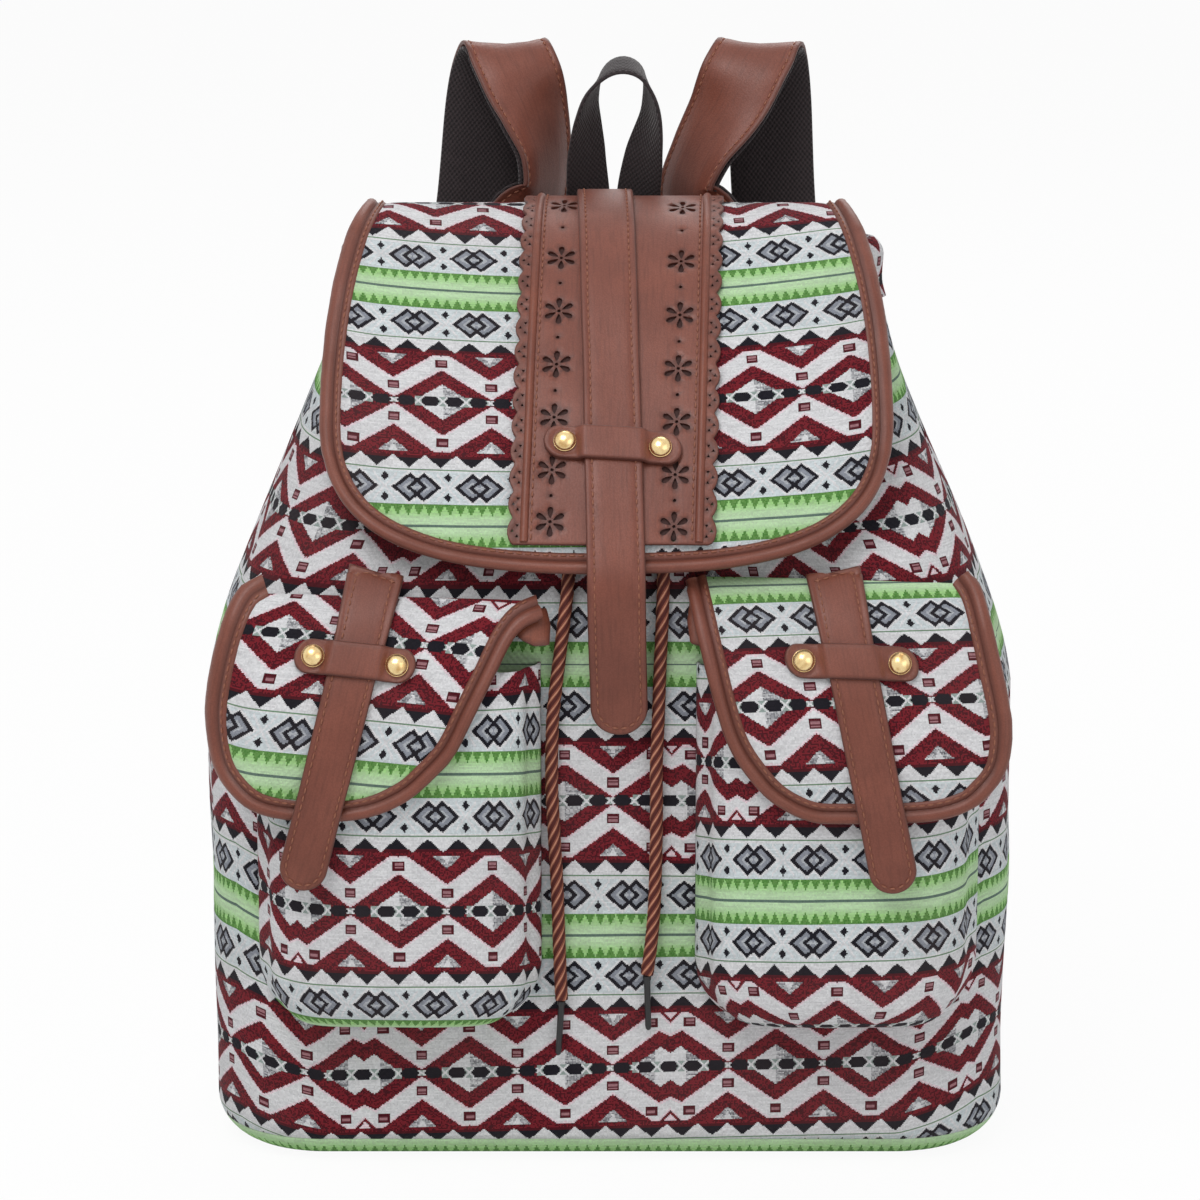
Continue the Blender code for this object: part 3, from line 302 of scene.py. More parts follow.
def axes_of(tree, place):
    """A place's measures along X, Y and Z."""
    split = added(tree, "ShaderNodeSeparateXYZ", Vector=place)
    return [Measure(tree, output) for output in split.outputs]


def random_value(tree, column, row):
    """A random value from 0 to 1 for each column and row."""
    join = added(tree, "ShaderNodeCombineXYZ", X=column.socket, Y=row.socket)
    node = added(tree, "ShaderNodeTexWhiteNoise", Vector=join.outputs[0])
    node.noise_dimensions = "2D"
    return Measure(tree, node.outputs["Value"])


def noise_value(tree, place, scale, detail=2.0, rough=0.5):
    """Soft noise over a place, around 0.5."""
    node = added(tree, "ShaderNodeTexNoise", {"Scale": scale, "Detail": detail, "Roughness": rough},
        Vector=place)
    return Measure(tree, node.outputs["Fac"])


# Woven stripes: zigzags round a row of beads, teeth, double diamonds and green bands
def woven_stripes():
    """The cloth's colours by place on the cloth. Lengths are in pattern cells: u runs across a repeat
    and d is the distance from its bead row."""
    tree, entry, leave = new_group("woven_stripes", "ShaderNodeTree",
        (("Place", "Vector", None), ("Thread", "Float", 0.55)),
        (("Colour", "Color"), ("Relief", "Float")))
    thread = Measure(tree, entry.outputs["Thread"])
    width = 125.6
    half = 54.9
    across, up, level = axes_of(tree, entry.outputs["Place"])
    column = (across * (width / repeat_width) / thread).whole()
    row = (up * (2 * half / repeat_height) / thread).whole()
    u = ((column + 0.5) * thread).wrapped(width)
    v = (row + 0.5) * thread
    d = ((v + half).wrapped(2 * half) - half).size()
    grain = random_value(tree, column, row)
    streak = random_value(tree, (column / 9.0).whole(), row + 40.0)

    # Zigzag: two plain spans of 39.2 and a wide one of 47.2 with a notch at its far side
    wide = u.above(78.4)
    along = u.wrapped(39.2) * (wide * -1.0 + 1.0) + (u - 78.4) * wide
    span = wide * 8.0 + 39.2
    near = along.least(span - along)
    notch = (near - 19.0).most(0.0)
    upper = (near * 0.71 + 11.0).least(22.8) - notch
    lower = near * 0.71 + 1.4 - notch * 1.21
    far = (near - (wide * -3.8 + 19.6)).size()
    middle = (near - 23.6).size()

    mottle = painted(tree, (grain * 0.5 + streak * 0.5).least(1.0), thread_white, tone(96, 98, 106))
    cloth = Layers(tree, painted(tree, d.below(24.0), thread_white, thread_red))
    shaded = painted(tree, (grain * 0.7 + streak * 0.3).above(0.54), thread_red, thread_dark_red)
    shaded = painted(tree, (grain * 0.8 + streak * 0.2).above(0.84), shaded, tone(78, 30, 40))
    cloth.lay(d.below(24.0), shaded)
    core = (near - 19.6).size() * -0.7 + 8.3
    kept = (along.above(span * 0.5) * (wide * -1.0 + 1.0)).most(wide * middle.above(6.5))
    cloth.lay(d.below(core), painted(tree, kept, thread_white, mottle))
    tuft = (d - 17.4) * 1.15
    cloth.lay(near.below(tuft) * d.below(22.3), mottle)
    cloth.lay(near.below((d - 19.2) * 0.62) * d.below(22.3), thread_white)
    band = d.above(lower) * d.below(upper)
    cloth.lay(band, thread_pink)
    cloth.lay(d.above(lower + 0.9) * d.below(upper - 0.9), thread_white)
    cloth.lay(wide * middle.below((d - 19.6) * 0.85) * d.below(22.4), thread_pink)

    for place, level in ((near, 7.4), (far, 18.6)):
        high = (d - level).size()
        cloth.lay(place.below(2.4) * high.below(2.0), thread_dark_red)
        stud = painted(tree, row.wrapped(3.0).above(0.5), tone(100, 44, 54), tone(172, 124, 130))
        cloth.lay(place.below(1.7) * high.below(1.25), stud)

    # Bead row
    bead = (u.wrapped(9.66) - 4.83).size()
    cross = (bead * -1.0 + 4.83 - d).size()
    cloth.lay(d.below(2.2) * (near.below(8.0) * -1.0 + 1.0).most(d.below(1.3)),
        painted(tree, cross.below(0.55), tone(160, 176, 170), thread_white))
    cloth.lay(d.below(2.15) * (bead + d * 0.75).below(3.9), thread_black)

    # Teeth on the red field's edge and the thin green line beyond them
    tooth = (u.wrapped(12.56) - 6.28).size()
    point = tooth.below(d * -1.13 + 33.4) * d.within(24.0, 29.8)
    cloth.lay(point, thread_black)
    cloth.lay(point * d.below(25.3), thread_dark_red)
    cloth.lay(d.within(30.3, 30.85), tone(116, 150, 118))
    cloth.lay(d.within(31.6, 45.8), thread_sky)

    # Double diamonds with dots between them
    pair = (u + 3.0).wrapped(25.12) - 12.56
    high = (d - 38.3).size()
    between = (pair.size() - 12.56).size()
    arm = (high - between * 1.3).size().below(0.7) * between.below(4.6)
    cloth.lay(arm * d.within(31.6, 45.8), thread_white)
    one = (pair - 2.8).size() / 7.2 + high / 6.4
    two = (pair + 2.8).size() / 7.2 + high / 6.4
    cloth.lay(one.least(two).below(1.18), thread_white)
    cloth.lay(one.least(two).below(0.86), thread_grey)
    cloth.lay(one.least(two).below(0.40), thread_pale_grey)
    outline = one.within(0.70, 1.0).most(two.within(0.70, 1.0))
    cloth.lay(outline, thread_black)
    dot = between / 1.6 + (high - 4.4).size() / 2.0
    cloth.lay(dot.below(1.0) * d.within(31.2, 45.4), thread_black)

    # Green band with teeth, and the thin line where the repeat mirrors
    leaf = (u.wrapped(4.187) - 2.09).size()
    fading = (d.ramp(48.0, 53.0) * 0.8 + grain * 0.2).least(1.0)
    light = painted(tree, fading, thread_light_green, thread_pale_green)
    cloth.lay(d.above(45.8), light)
    dark = painted(tree, grain, thread_dark_green, tone(120, 170, 92))
    cloth.lay(d.within(45.8, 51.0) * leaf.below(d * -0.45 + 22.8), dark)
    cloth.lay(d.above(54.5), tone(104, 128, 116))

    # Each thread is a little lighter or darker than its neighbour
    shade = painted(tree, grain * 0.20 + streak * 0.16, tone(255, 255, 255), tone(96, 96, 102))
    mix = tree.nodes.new("ShaderNodeMix")
    mix.data_type = "RGBA"
    mix.blend_type = "MULTIPLY"
    mix.inputs["Factor"].default_value = 1.0
    tree.links.new(cloth.colour, mix.inputs[6])
    tree.links.new(shade, mix.inputs[7])
    tree.links.new(mix.outputs[2], leave.inputs["Colour"])
    over = ((column + row).wrapped(2.0)) * 0.6 + grain * 0.4
    tree.links.new(over.socket, leave.inputs["Relief"])
    return tree


def plain_weave():
    """Over-and-under relief of a plain weave, with slack threads."""
    tree, entry, leave = new_group("plain_weave", "ShaderNodeTree",
        (("Place", "Vector", None), ("Across", "Float", 2200.0),
        ("Along", "Float", 2200.0)),
        (("Height", "Float"), ("Slub", "Float")))
    x, y, z = axes_of(tree, entry.outputs["Place"])
    across = (x * Measure(tree, entry.outputs["Across"])).wave()
    along = (y * Measure(tree, entry.outputs["Along"])).wave()
    slub = noise_value(tree, entry.outputs["Place"], 260.0, 3.0)
    tree.links.new((across * along * 0.5 + 0.5 + slub * 0.5).socket, leave.inputs["Height"])
    tree.links.new(slub.socket, leave.inputs["Slub"])
    return tree


def leather_grain():
    """Fine grain, cloudy shade, pores and lengthwise streaks of leather."""
    tree, entry, leave = new_group("leather_grain", "ShaderNodeTree",
        (("Place", "Vector", None), ("Flat", "Vector", None),
        ("Grain", "Float", 1500.0)),
        (("Height", "Float"), ("Cloud", "Float"), ("Pores", "Float"),
        ("Streaks", "Float")))
    cells = added(tree, "ShaderNodeTexVoronoi", Vector=entry.outputs["Place"], Scale=entry.outputs["Grain"])
    pebble = Measure(tree, cells.outputs["Distance"])
    fine = noise_value(tree, entry.outputs["Place"], 2400.0, 2.0)
    cloud = noise_value(tree, entry.outputs["Place"], 42.0, 4.0, 0.6)
    drawn = tree.nodes.new("ShaderNodeVectorMath")
    drawn.operation = "MULTIPLY"
    drawn.inputs[1].default_value = (1.0, 0.08, 1.0)
    tree.links.new(entry.outputs["Flat"], drawn.inputs[0])
    streaks = noise_value(tree, drawn.outputs[0], 900.0, 3.0)
    for measure, label in ((pebble * -0.5 + 1.0 + fine * 0.4 + streaks * 0.5, "Height"), (cloud, "Cloud"),
            (pebble.ramp(0.25, 0.75), "Pores"), (streaks, "Streaks")):
        tree.links.new(measure.socket, leave.inputs[label])
    return tree


stripes_group = woven_stripes()
weave_group = plain_weave()
leather_group = leather_grain()


class Finish:
    """A material with one Principled shader, and short ways to add to it."""

    def __init__(self, name, roughness, metallic=0.0, specular=0.5, sheen=0.0):
        self.material = bpy.data.materials.new(name)
        self.material.use_nodes = True
        self.tree = self.material.node_tree
        self.shader = self.tree.nodes["Principled BSDF"]
        for label, value in (("Roughness", roughness), ("Metallic", metallic),
                ("Specular IOR Level", specular), ("Sheen Weight", sheen)):
            self.shader.inputs[label].default_value = value

    def place(self, from_uv=True):
        """Place on the piece: its own flat map, or its object's axes."""
        if from_uv:
            node = self.tree.nodes.new("ShaderNodeUVMap")
            node.uv_map = "place"
            return node.outputs[0]
        return self.tree.nodes.new("ShaderNodeTexCoord").outputs["Object"]

    def group(self, tree, **values):
        """The measures that a shared effect gives from its own values."""
        node = self.tree.nodes.new("ShaderNodeGroup")
        node.node_tree = tree
        for label, value in values.items():
            if isinstance(value, bpy.types.NodeSocket):
                self.tree.links.new(value, node.inputs[label])
            else:
                node.inputs[label].default_value = value
        return {output.name: Measure(self.tree, output) for output in node.outputs}

    def noise(self, scale, detail):
        """Soft noise over the object's own axes."""
        return noise_value(self.tree, self.place(False), scale, detail)

    def paint(self, mask, under, over):
        """A colour laid over another where a mask is 1."""
        return painted(self.tree, mask, under, over)

    def colour(self, socket):
        """The base colour from a node."""
        self.tree.links.new(socket, self.shader.inputs["Base Color"])

    def rough(self, measure):
        """The roughness from a node."""
        self.tree.links.new(measure.socket, self.shader.inputs["Roughness"])

    def relief(self, height, distance, strength):
        """Relief from a height."""
        node = added(self.tree, "ShaderNodeBump", {"Distance": distance, "Strength": strength},
            Height=height.socket)
        self.tree.links.new(node.outputs[0], self.shader.inputs["Normal"])


def striped_canvas():
    """Canvas woven with the stripes."""
    made = Finish("striped_canvas", 0.88, specular=0.12, sheen=0.03)
    place = made.place()
    stripes = made.group(stripes_group, Place=place)
    weave = made.group(weave_group, Place=place)
    cloud = made.noise(14.0, 3.0)
    colour = made.paint(cloud.ramp(0.35, 0.75) * 0.10, stripes["Colour"].socket, tone(120, 104, 100))
    made.colour(colour)
    height = weave["Height"] + stripes["Relief"] * 0.7
    made.relief(height, 0.00022, 0.9)
    return made.material


def cloth_lining():
    """Plain cream lining."""
    made = Finish("cloth_lining", 0.9, specular=0.2)
    weave = made.group(weave_group, Place=made.place())
    slub = weave["Slub"]
    made.colour(made.paint(slub, tone(196, 180, 158), tone(170, 150, 128)))
    made.relief(weave["Height"], 0.0002, 0.8)
    return made.material


def leather_finish(name, base, deep, worn, roughness):
    """Brown leather: cloudy colour, burnished edges, painted shade where the rim mark gives it, and a fine
    grain.
    """
    made = Finish(name, roughness, specular=0.4, sheen=0.06)
    grain = made.group(leather_group, Place=made.place(False), Flat=made.place())
    cloud, pores, streaks = (grain[label] for label in ("Cloud", "Pores", "Streaks"))
    mark = made.tree.nodes.new("ShaderNodeAttribute")
    mark.attribute_name = "rim"
    rim = Measure(made.tree, mark.outputs["Fac"])
    colour = made.paint(cloud.ramp(0.3, 0.72), base, worn)
    colour = made.paint(streaks.ramp(0.45, 0.75) * 0.35, colour, deep)
    colour = made.paint(pores * 0.22, colour, deep)
    # Rim mark: burnished cut edges and hole edges, and painted shade on bindings and at lace fold feet
    colour = made.paint(rim * 0.8, colour, deep)
    made.colour(colour)
    made.rough(cloud * 0.14 + (roughness - 0.07) + pores * 0.06)
    made.relief(grain["Height"], 0.00014, 0.55)
    return made.material


def webbing_finish():
    """Dark ribbed webbing."""
    made = Finish("dark_ribbed_webbing", 0.8, specular=0.3, sheen=0.2)
    weave = made.group(weave_group, Place=made.place(), Across=3300.0, Along=2500.0)
    height = weave["Height"]
    # Colour follows the relief: painted shade in the weave's hollows and lighter raised threads, with random
    # slub
    made.colour(made.paint(height.ramp(0.2, 1.2), tone(22, 16, 18), tone(52, 42, 44)))
    made.relief(height, 0.0004, 0.9)
    return made.material


def cord_finish():
    """Cord twisted from tan and dark brown strands, with a painted highlight along each tan strand's crown.
    """
    made = Finish("twisted_strands", 0.75, specular=0.3)
    strand = axes_of(made.tree, made.place())[0].wrapped(1.0)
    fuzz = made.noise(1800.0, 2.0)
    colour = made.paint(strand.above(0.50), tone(132, 72, 56), tone(80, 34, 30))
    # Painted highlight: a light tan line along the crown of each tan strand
    colour = made.paint(strand.within(0.12, 0.32), colour, tone(190, 134, 108))
    made.colour(made.paint(fuzz.ramp(0.5, 0.85) * 0.4, colour, tone(60, 34, 30)))
    made.relief(fuzz, 0.0003, 0.7)
    return made.material


def metal_finish(name, base, deep, roughness):
    """Plated metal with a faint tarnish."""
    made = Finish(name, roughness, metallic=1.0)
    cloud = made.noise(300.0, 3.0)
    made.colour(made.paint(cloud.ramp(0.4, 0.8), base, deep))
    made.rough(cloud * 0.25 + (roughness - 0.1))
    return made.material


def moulded_finish(name, base, roughness):
    """Moulded black plastic."""
    made = Finish(name, roughness)
    fine = made.noise(2600.0, 2.0)
    made.colour(made.paint(fine * 0.2, base, tone(50, 50, 52)))
    made.relief(fine, 0.00008, 0.6)
    return made.material


def thread_finish():
    """Light tan sewing thread."""
    made = Finish("tan_sewing_thread", 0.6, specular=0.4)
    fine = made.noise(1500.0, 1.0)
    made.colour(made.paint(fine, tone(152, 98, 76), tone(120, 72, 54)))
    return made.material


canvas = striped_canvas()
lining = cloth_lining()
brown_leather = leather_finish("brown_trim_leather", tone(127, 70, 54), tone(76, 36, 26),
    tone(114, 60, 45), 0.42)
fold_leather = leather_finish("folded_edge_leather", tone(128, 68, 48), tone(72, 33, 24),
    tone(112, 58, 42), 0.4)
# Painted shade for the lace panel's holes: a dark sheet laid under them
hole_shade_material = leather_finish("painted_hole_shade", tone(58, 30, 26), tone(34, 18, 16),
    tone(66, 34, 28), 0.7)
dark_webbing = webbing_finish()
strands = cord_finish()
brass = metal_finish("aged_brass", tone(236, 210, 156), tone(190, 146, 88), 0.24)
steel = metal_finish("magnet_steel", tone(180, 180, 182), tone(140, 140, 142), 0.35)
slider_black = moulded_finish("slider_plastic", tone(28, 28, 30), 0.42)
tip_black = moulded_finish("cord_tip_plastic", tone(14, 14, 16), 0.34)
thread = thread_finish()


# Mesh building
def placed_mesh(name, points, faces, spots, materials, rims=None, soft_angle=50, closed=False):
    """A mesh with its points' flat places as a UV map, and its rims marked."""
    mesh = bpy.data.meshes.new(name)
    mesh.from_pydata([tuple(point) for point in points], [], faces)
    if closed:
        body = bmesh.new()
        body.from_mesh(mesh)
        bmesh.ops.recalc_face_normals(body, faces=body.faces)
        body.to_mesh(mesh)
        body.free()
    layer = mesh.uv_layers.new(name="place")
    corners = np.zeros(len(mesh.loops), dtype=np.int32)
    mesh.loops.foreach_get("vertex_index", corners)
    layer.data.foreach_set("uv", np.array(spots, dtype=np.float32)[corners].ravel())
    if rims is not None:
        mark = mesh.attributes.new("rim", "FLOAT", "POINT")
        mark.data.foreach_set("value", np.array(rims, dtype=np.float32))
    mesh.shade_smooth()
    mesh.set_sharp_from_angle(angle=radians(soft_angle))
    for material in materials:
        mesh.materials.append(material)
    return in_scene(name, mesh)


def with_thickness(piece, thickness):
    """Gives a cloth face its thickness, with the lining inside."""
    wall = piece.modifiers.new("cloth_thickness", "SOLIDIFY")
    wall.thickness = thickness
    wall.offset = -1
    wall.material_offset = 1


def grid_faces(rows, columns, closed):
    """Faces between rows of points, with each row closed to a ring or not."""
    faces = []
    for start in range(0, (rows - 1) * columns, columns):
        for column in range(columns if closed else columns - 1):
            one = start + column
            two = start + (column + 1) % columns
            faces.append((one, two, two + columns, one + columns))
    return faces


def cloth_grid(name, rows, places, materials, thickness):
    """A cloth wall whose outer face is a grid of points."""
    points = [point for row in rows for point in row]
    spots = [spot for row in places for spot in row]
    faces = grid_faces(len(rows), len(rows[0]), False)
    piece = placed_mesh(name, points, faces, spots, materials, soft_angle=180)
    with_thickness(piece, thickness)
    return piece


def swept(name, stations, places, material, rims=None, soft_angle=50):
    """A body from rings of points along it, with a face at each end."""
    sides = len(stations[0])
    count = len(stations)
    points = [point for ring in stations for point in ring]
    spots = [spot for ring in places for spot in ring]
    faces = grid_faces(count, sides, True)
    faces.append(tuple(range(sides)))
    faces.append(tuple((count - 1) * sides + side for side in range(sides)))
    return placed_mesh(name, points, faces, spots, [material], rims, soft_angle, closed=True)


def distances(line):
    """For each point of a line, its distance along it."""
    run = [0.0]
    for before, after in zip(line, line[1:]):
        run.append(run[-1] + (after - before).length)
    return run


def heading(line, index):
    """The direction of a line at one of its points, from its neighbours."""
    return line[min(index + 1, len(line) - 1)] - line[max(index - 1, 0)]


def evenly(dense, steps, count):
    """The first points of a line cut into a number of even steps."""
    travelled = distances(dense)
    line = []
    reach = 0
    for step in range(count):
        target = travelled[-1] * step / steps
        while reach < len(dense) - 2 and travelled[reach + 1] < target:
            reach += 1
        share = (target - travelled[reach]) / max(travelled[reach + 1] - travelled[reach], 1e-9)
        line.append(dense[reach].lerp(dense[reach + 1], min(share, 1.0)))
    return line


def smooth_line(points, count):
    """Evenly spaced points on a smooth curve through the given points."""
    knots = [Vector(point) for point in points]
    spans = len(knots) - 1
    dense = []
    for span in range(spans):
        p0, p1, p2, p3 = (knots[min(max(span + shift, 0), spans)] for shift in (-1, 0, 1, 2))
        for step in range(16):
            t = step / 16
            dense.append(0.5 * (2 * p1 + (p2 - p0) * t + (2 * p0 - 5 * p1 + 4 * p2 - p3) * t * t
                + (3 * p1 - p0 - 3 * p2 + p3) * t ** 3))
    dense.append(knots[-1])
    return evenly(dense, count - 1, count)


def flat_points(pairs):
    """Flat points from pairs of numbers."""
    return [Vector(pair) for pair in pairs]


def spread(start, end, count):
    """Evenly spaced values from start to end."""
    return [start + (end - start) * step / (count - 1) for step in range(count)]


def arc(radius, start, steps, across=0.0, up=0.0):
    """Flat points on an arc round a centre, 10 degrees a step from a start in degrees."""
    angles = [radians(start + 10 * step) for step in steps]
    return [Vector((across + radius * cos(angle), up + radius * sin(angle))) for angle in angles]


def resting(surface, a, b):
    """A point of a surface and the direction out of it."""
    step = 0.0005
    across = surface(a + step, b) - surface(a - step, b)
    along = surface(a, b + step) - surface(a, b - step)
    return surface(a, b), across.cross(along).normalized()


def laid(surface, a, b, depth):
    """A point at a distance in front of a surface, at flat place a, b."""
    point, out = resting(surface, a, b)
    return point + out * depth


def inset_line(line, distance):
    """An open line, anticlockwise round a shape, moved inwards."""
    moved = []
    for index, spot in enumerate(line):
        along = heading(line, index).normalized()
        moved.append(spot + Vector((-along.y, along.x)) * distance)
    return moved


def even_flat(line, spacing, closed=False):
    """A flat line with evenly spaced points."""
    whole = line + line[:1] if closed else line
    count = max(round(distances(whole)[-1] / spacing), 4)
    return evenly(whole, count, count if closed else count + 1)


def enclosed(spots, outline):
    """For each flat spot, whether it lies inside a closed outline."""
    x, y = spots[:, 0], spots[:, 1]
    hit = np.zeros(len(spots), dtype=bool)
    ring = np.array([tuple(spot) for spot in outline])
    for one, two in zip(ring, np.roll(ring, -1, axis=0)):
        if one[1] == two[1]:
            continue
        beyond = (one[1] > y) != (two[1] > y)
        hit ^= beyond & (x < one[0] + (y - one[1]) * (two[0] - one[0]) / (two[1] - one[1]))
    return hit


def edge_distances(spots, outline):
    """For each flat spot, its distance from a closed outline."""
    ring = np.array([tuple(spot) for spot in outline])
    best = np.full(len(spots), 1.0)
    for one, two in zip(ring, np.roll(ring, -1, axis=0)):
        line = two - one
        share = np.clip(((spots - one) @ line) / max(line @ line, 1e-12), 0, 1)
        best = np.minimum(best, np.hypot(*(spots - one - share[:, None] * line).T))
    return best


def cut_piece(name, outline, surface, low, high, spacing, materials, holes=(), lift=None, form=None,
        place=None, rounding=0.0007, rings=(), burnish=0.0011):
    """A piece cut to a flat outline with holes and laid on a surface, with rounded edges.
    form gives a height by distance from the edge; place gives the flat place of the pattern."""
    flat = even_flat(outline, spacing * 0.7, closed=True)
    points = []
    edges = []
    for ring in (flat,) + tuple(holes):
        start = len(points)
        points += ring
        edges += [(start + index, start + (index + 1) % len(ring)) for index in range(len(ring))]
    extra = []
    closed_line = flat + flat[:2]
    for distance in (0.35 * rounding, rounding) + tuple(rings):
        ring = np.array([tuple(spot) for spot in inset_line(closed_line, distance)[1:-1]])
        keep = enclosed(ring, flat) & (edge_distances(ring, flat) > 0.9 * distance)
        extra.append(ring[keep])
    left, foot = np.min([tuple(spot) for spot in flat], axis=0)
    right, top = np.max([tuple(spot) for spot in flat], axis=0)
    grid = []
    for row, level in enumerate(np.arange(foot + spacing / 2, top, spacing * 0.87)):
        shift = spacing / 2 if row % 2 else 0.0
        grid += [(value, level) for value in np.arange(left + shift, right, spacing)]
    grid = np.array(grid)
    inside = enclosed(grid, flat)
    away = edge_distances(grid, flat)
    margin = max((rounding,) + tuple(rings)) + 0.35 * spacing
    extra.append(grid[inside & (away > margin)])
    keep = inside & (away > rounding + 0.3 * spacing) & (away <= margin)
    for distance in rings:
        keep &= np.abs(away - distance) > 0.25 * spacing
    extra.append(grid[keep])
    extra = np.concatenate([part for part in extra if len(part)])
    near_hole = 0.012
    centred = [(hole, np.mean([tuple(spot) for spot in hole], axis=0)) for hole in holes]
    for hole, middle in centred:
        reach = max((spot - Vector(middle)).length for spot in hole) + 0.3 * spacing
        near = np.hypot(*(extra - middle).T) < reach
        if near.any():
            clash = enclosed(extra[near], hole) | (edge_distances(extra[near], hole) < 0.15 * spacing)
            extra = np.delete(extra, np.flatnonzero(near)[clash], axis=0)
    points += [Vector(spot) for spot in extra.tolist()]
    cut = delaunay_2d_cdt(points, edges, [], 0, 1e-8)
    spots = np.array([tuple(spot) for spot in cut[0]])
    faces = np.array([face for face in cut[2] if len(face) == 3])
    middles = spots[faces].mean(axis=1)
    one, two, three = (spots[faces[:, place_in]] for place_in in range(3))
    keep = enclosed(middles, flat) & (np.abs(np.cross(two - one, three - one)) > 1e-11)
    for hole, middle in centred:
        near = keep & (np.hypot(*(middles - middle).T) < near_hole)
        if near.any():
            keep[np.flatnonzero(near)[enclosed(middles[near], hole)]] = False
    triangles = [tuple(int(index) for index in face) for face in faces[keep]]
    away = edge_distances(spots, flat)
    to_hole = np.full(len(spots), 1.0)
    for hole, middle in centred:
        near = np.hypot(*(spots - middle).T) < near_hole
        if near.any():
            to_hole[near] = np.minimum(to_hole[near], edge_distances(spots[near], hole))
    points = []
    under = []
    flat_places = []
    rims = []
    for index, (a, b) in enumerate(spots):
        distance = away[index]
        turned = max(rounding - distance, 0.0)
        height = high - rounding + sqrt(max(rounding * rounding - turned * turned, 0.0))
        if to_hole[index] < 0.0003:
            height -= 0.0003
        if form:
            height += form(distance, a, b)
        rise = lift(a, b) if lift else 0.0
        point, out = resting(surface, a, b)
        points.append(point + out * (height + rise))
        under.append(point + out * (low + rise))
        flat_places.append(place(a, b) if place else (a, b))
        rims.append(max(1 - distance / burnish, 0.0, 1 - to_hole[index] / (burnish * 0.6)))
    count = len(points)
    faces = list(triangles)
    faces += [tuple(count + index for index in reversed(face)) for face in triangles]
    seen = {(one, two) for face in triangles for one, two in zip(face, face[1:] + face[:1])}
    for one, two in seen:
        if (two, one) not in seen:
            faces.append((two, one, count + one, count + two))
    used = sorted({index for face in faces for index in face})
    order = {index: place_in for place_in, index in enumerate(used)}
    whole = points + under
    return placed_mesh(name, [whole[index] for index in used],
        [tuple(order[index] for index in face) for face in faces],
        [(flat_places + flat_places)[index] for index in used], materials,
        [(rims + rims)[index] for index in used], closed=True)


# Geometry Nodes trees for what repeats
def growing_tree(name, inputs):
    """A geometry tree with its own inputs and a material."""
    inputs = (("Geometry", "Geometry", None),) + inputs + (("Material", "Material", None),)
    return new_group(name, "GeometryNodeTree", inputs, (("Geometry", "Geometry"),))


def copies_on(tree, entry, leave, points, shape, turn):
    """Ends a tree: a shape set on points with their turns, in its material."""
    placed = added(tree, "GeometryNodeInstanceOnPoints", Points=points, Instance=shape.outputs[0],
        Rotation=turn.outputs[0])
    real = added(tree, "GeometryNodeRealizeInstances", Geometry=placed.outputs[0])
    dyed = added(tree, "GeometryNodeSetMaterial", Geometry=real.outputs[0],
        Material=entry.outputs["Material"])
    tree.links.new(dyed.outputs[0], leave.inputs["Geometry"])
    return tree


def kept_value(tree, name, kind):
    """The output that reads a value kept with the points."""
    node = tree.nodes.new("GeometryNodeInputNamedAttribute")
    node.data_type = kind
    node.inputs["Name"].default_value = name
    return node.outputs["Attribute"]


def stitch_row():
    """Thread stitches along lines, each a short rounded length."""
    tree, entry, leave = growing_tree("stitch_row", (
        ("Pitch", "Float", 0.0033), ("Stitch Length", "Float", 0.0026), ("Thread", "Float", 0.0007)))
    curve = added(tree, "GeometryNodeMeshToCurve", Mesh=entry.outputs["Geometry"])
    even = tree.nodes.new("GeometryNodeResampleCurve")
    even.mode = "LENGTH"
    tree.links.new(curve.outputs[0], even.inputs["Curve"])
    tree.links.new(entry.outputs["Pitch"], even.inputs["Length"])
    tangent = tree.nodes.new("GeometryNodeInputTangent")
    turn = added(tree, "FunctionNodeAlignRotationToVector", Vector=tangent.outputs[0])
    turn.axis = "X"
    grain = added(tree, "GeometryNodeMeshUVSphere", {"Segments": 8, "Rings": 5, "Radius": 0.5})
    size = added(tree, "ShaderNodeCombineXYZ", X=entry.outputs["Stitch Length"], Y=entry.outputs["Thread"],
        Z=entry.outputs["Thread"])
    shaped = added(tree, "GeometryNodeTransform", Geometry=grain.outputs["Mesh"], Scale=size.outputs[0])
    smooth = added(tree, "GeometryNodeSetShadeSmooth", Geometry=shaped.outputs[0])
    return copies_on(tree, entry, leave, even.outputs[0], smooth, turn)


def domed_rivets():
    """Domed rivet heads on points, standing along each point's own axis."""
    tree, entry, leave = growing_tree("domed_rivets", (
        ("Radius", "Float", 0.0045), ("Height", "Float", 0.0023)))
    turn = added(tree, "FunctionNodeAlignRotationToVector", Vector=kept_value(tree, "axis", "FLOAT_VECTOR"))
    turn.axis = "Z"
    dome = added(tree, "GeometryNodeMeshUVSphere", {"Segments": 32, "Rings": 16, "Radius": 1.0})
    wide = Measure(tree, entry.outputs["Radius"])
    body = (wide * 0.96).socket
    size = added(tree, "ShaderNodeCombineXYZ", X=body, Y=body, Z=entry.outputs["Height"])
    domed = added(tree, "GeometryNodeTransform", Geometry=dome.outputs["Mesh"], Scale=size.outputs[0])
    rim = added(tree, "GeometryNodeCurveToMesh")
    for socket, steps, share in (("Curve", 36, 0.93), ("Profile Curve", 10, 0.07)):
        ring = added(tree, "GeometryNodeCurvePrimitiveCircle", {"Resolution": steps},
            Radius=(wide * share).socket)
        tree.links.new(ring.outputs["Curve"], rim.inputs[socket])
    both = tree.nodes.new("GeometryNodeJoinGeometry")
    tree.links.new(domed.outputs[0], both.inputs[0])
    tree.links.new(rim.outputs[0], both.inputs[0])
    smooth = added(tree, "GeometryNodeSetShadeSmooth", Geometry=both.outputs[0])
    return copies_on(tree, entry, leave, entry.outputs["Geometry"], smooth, turn)


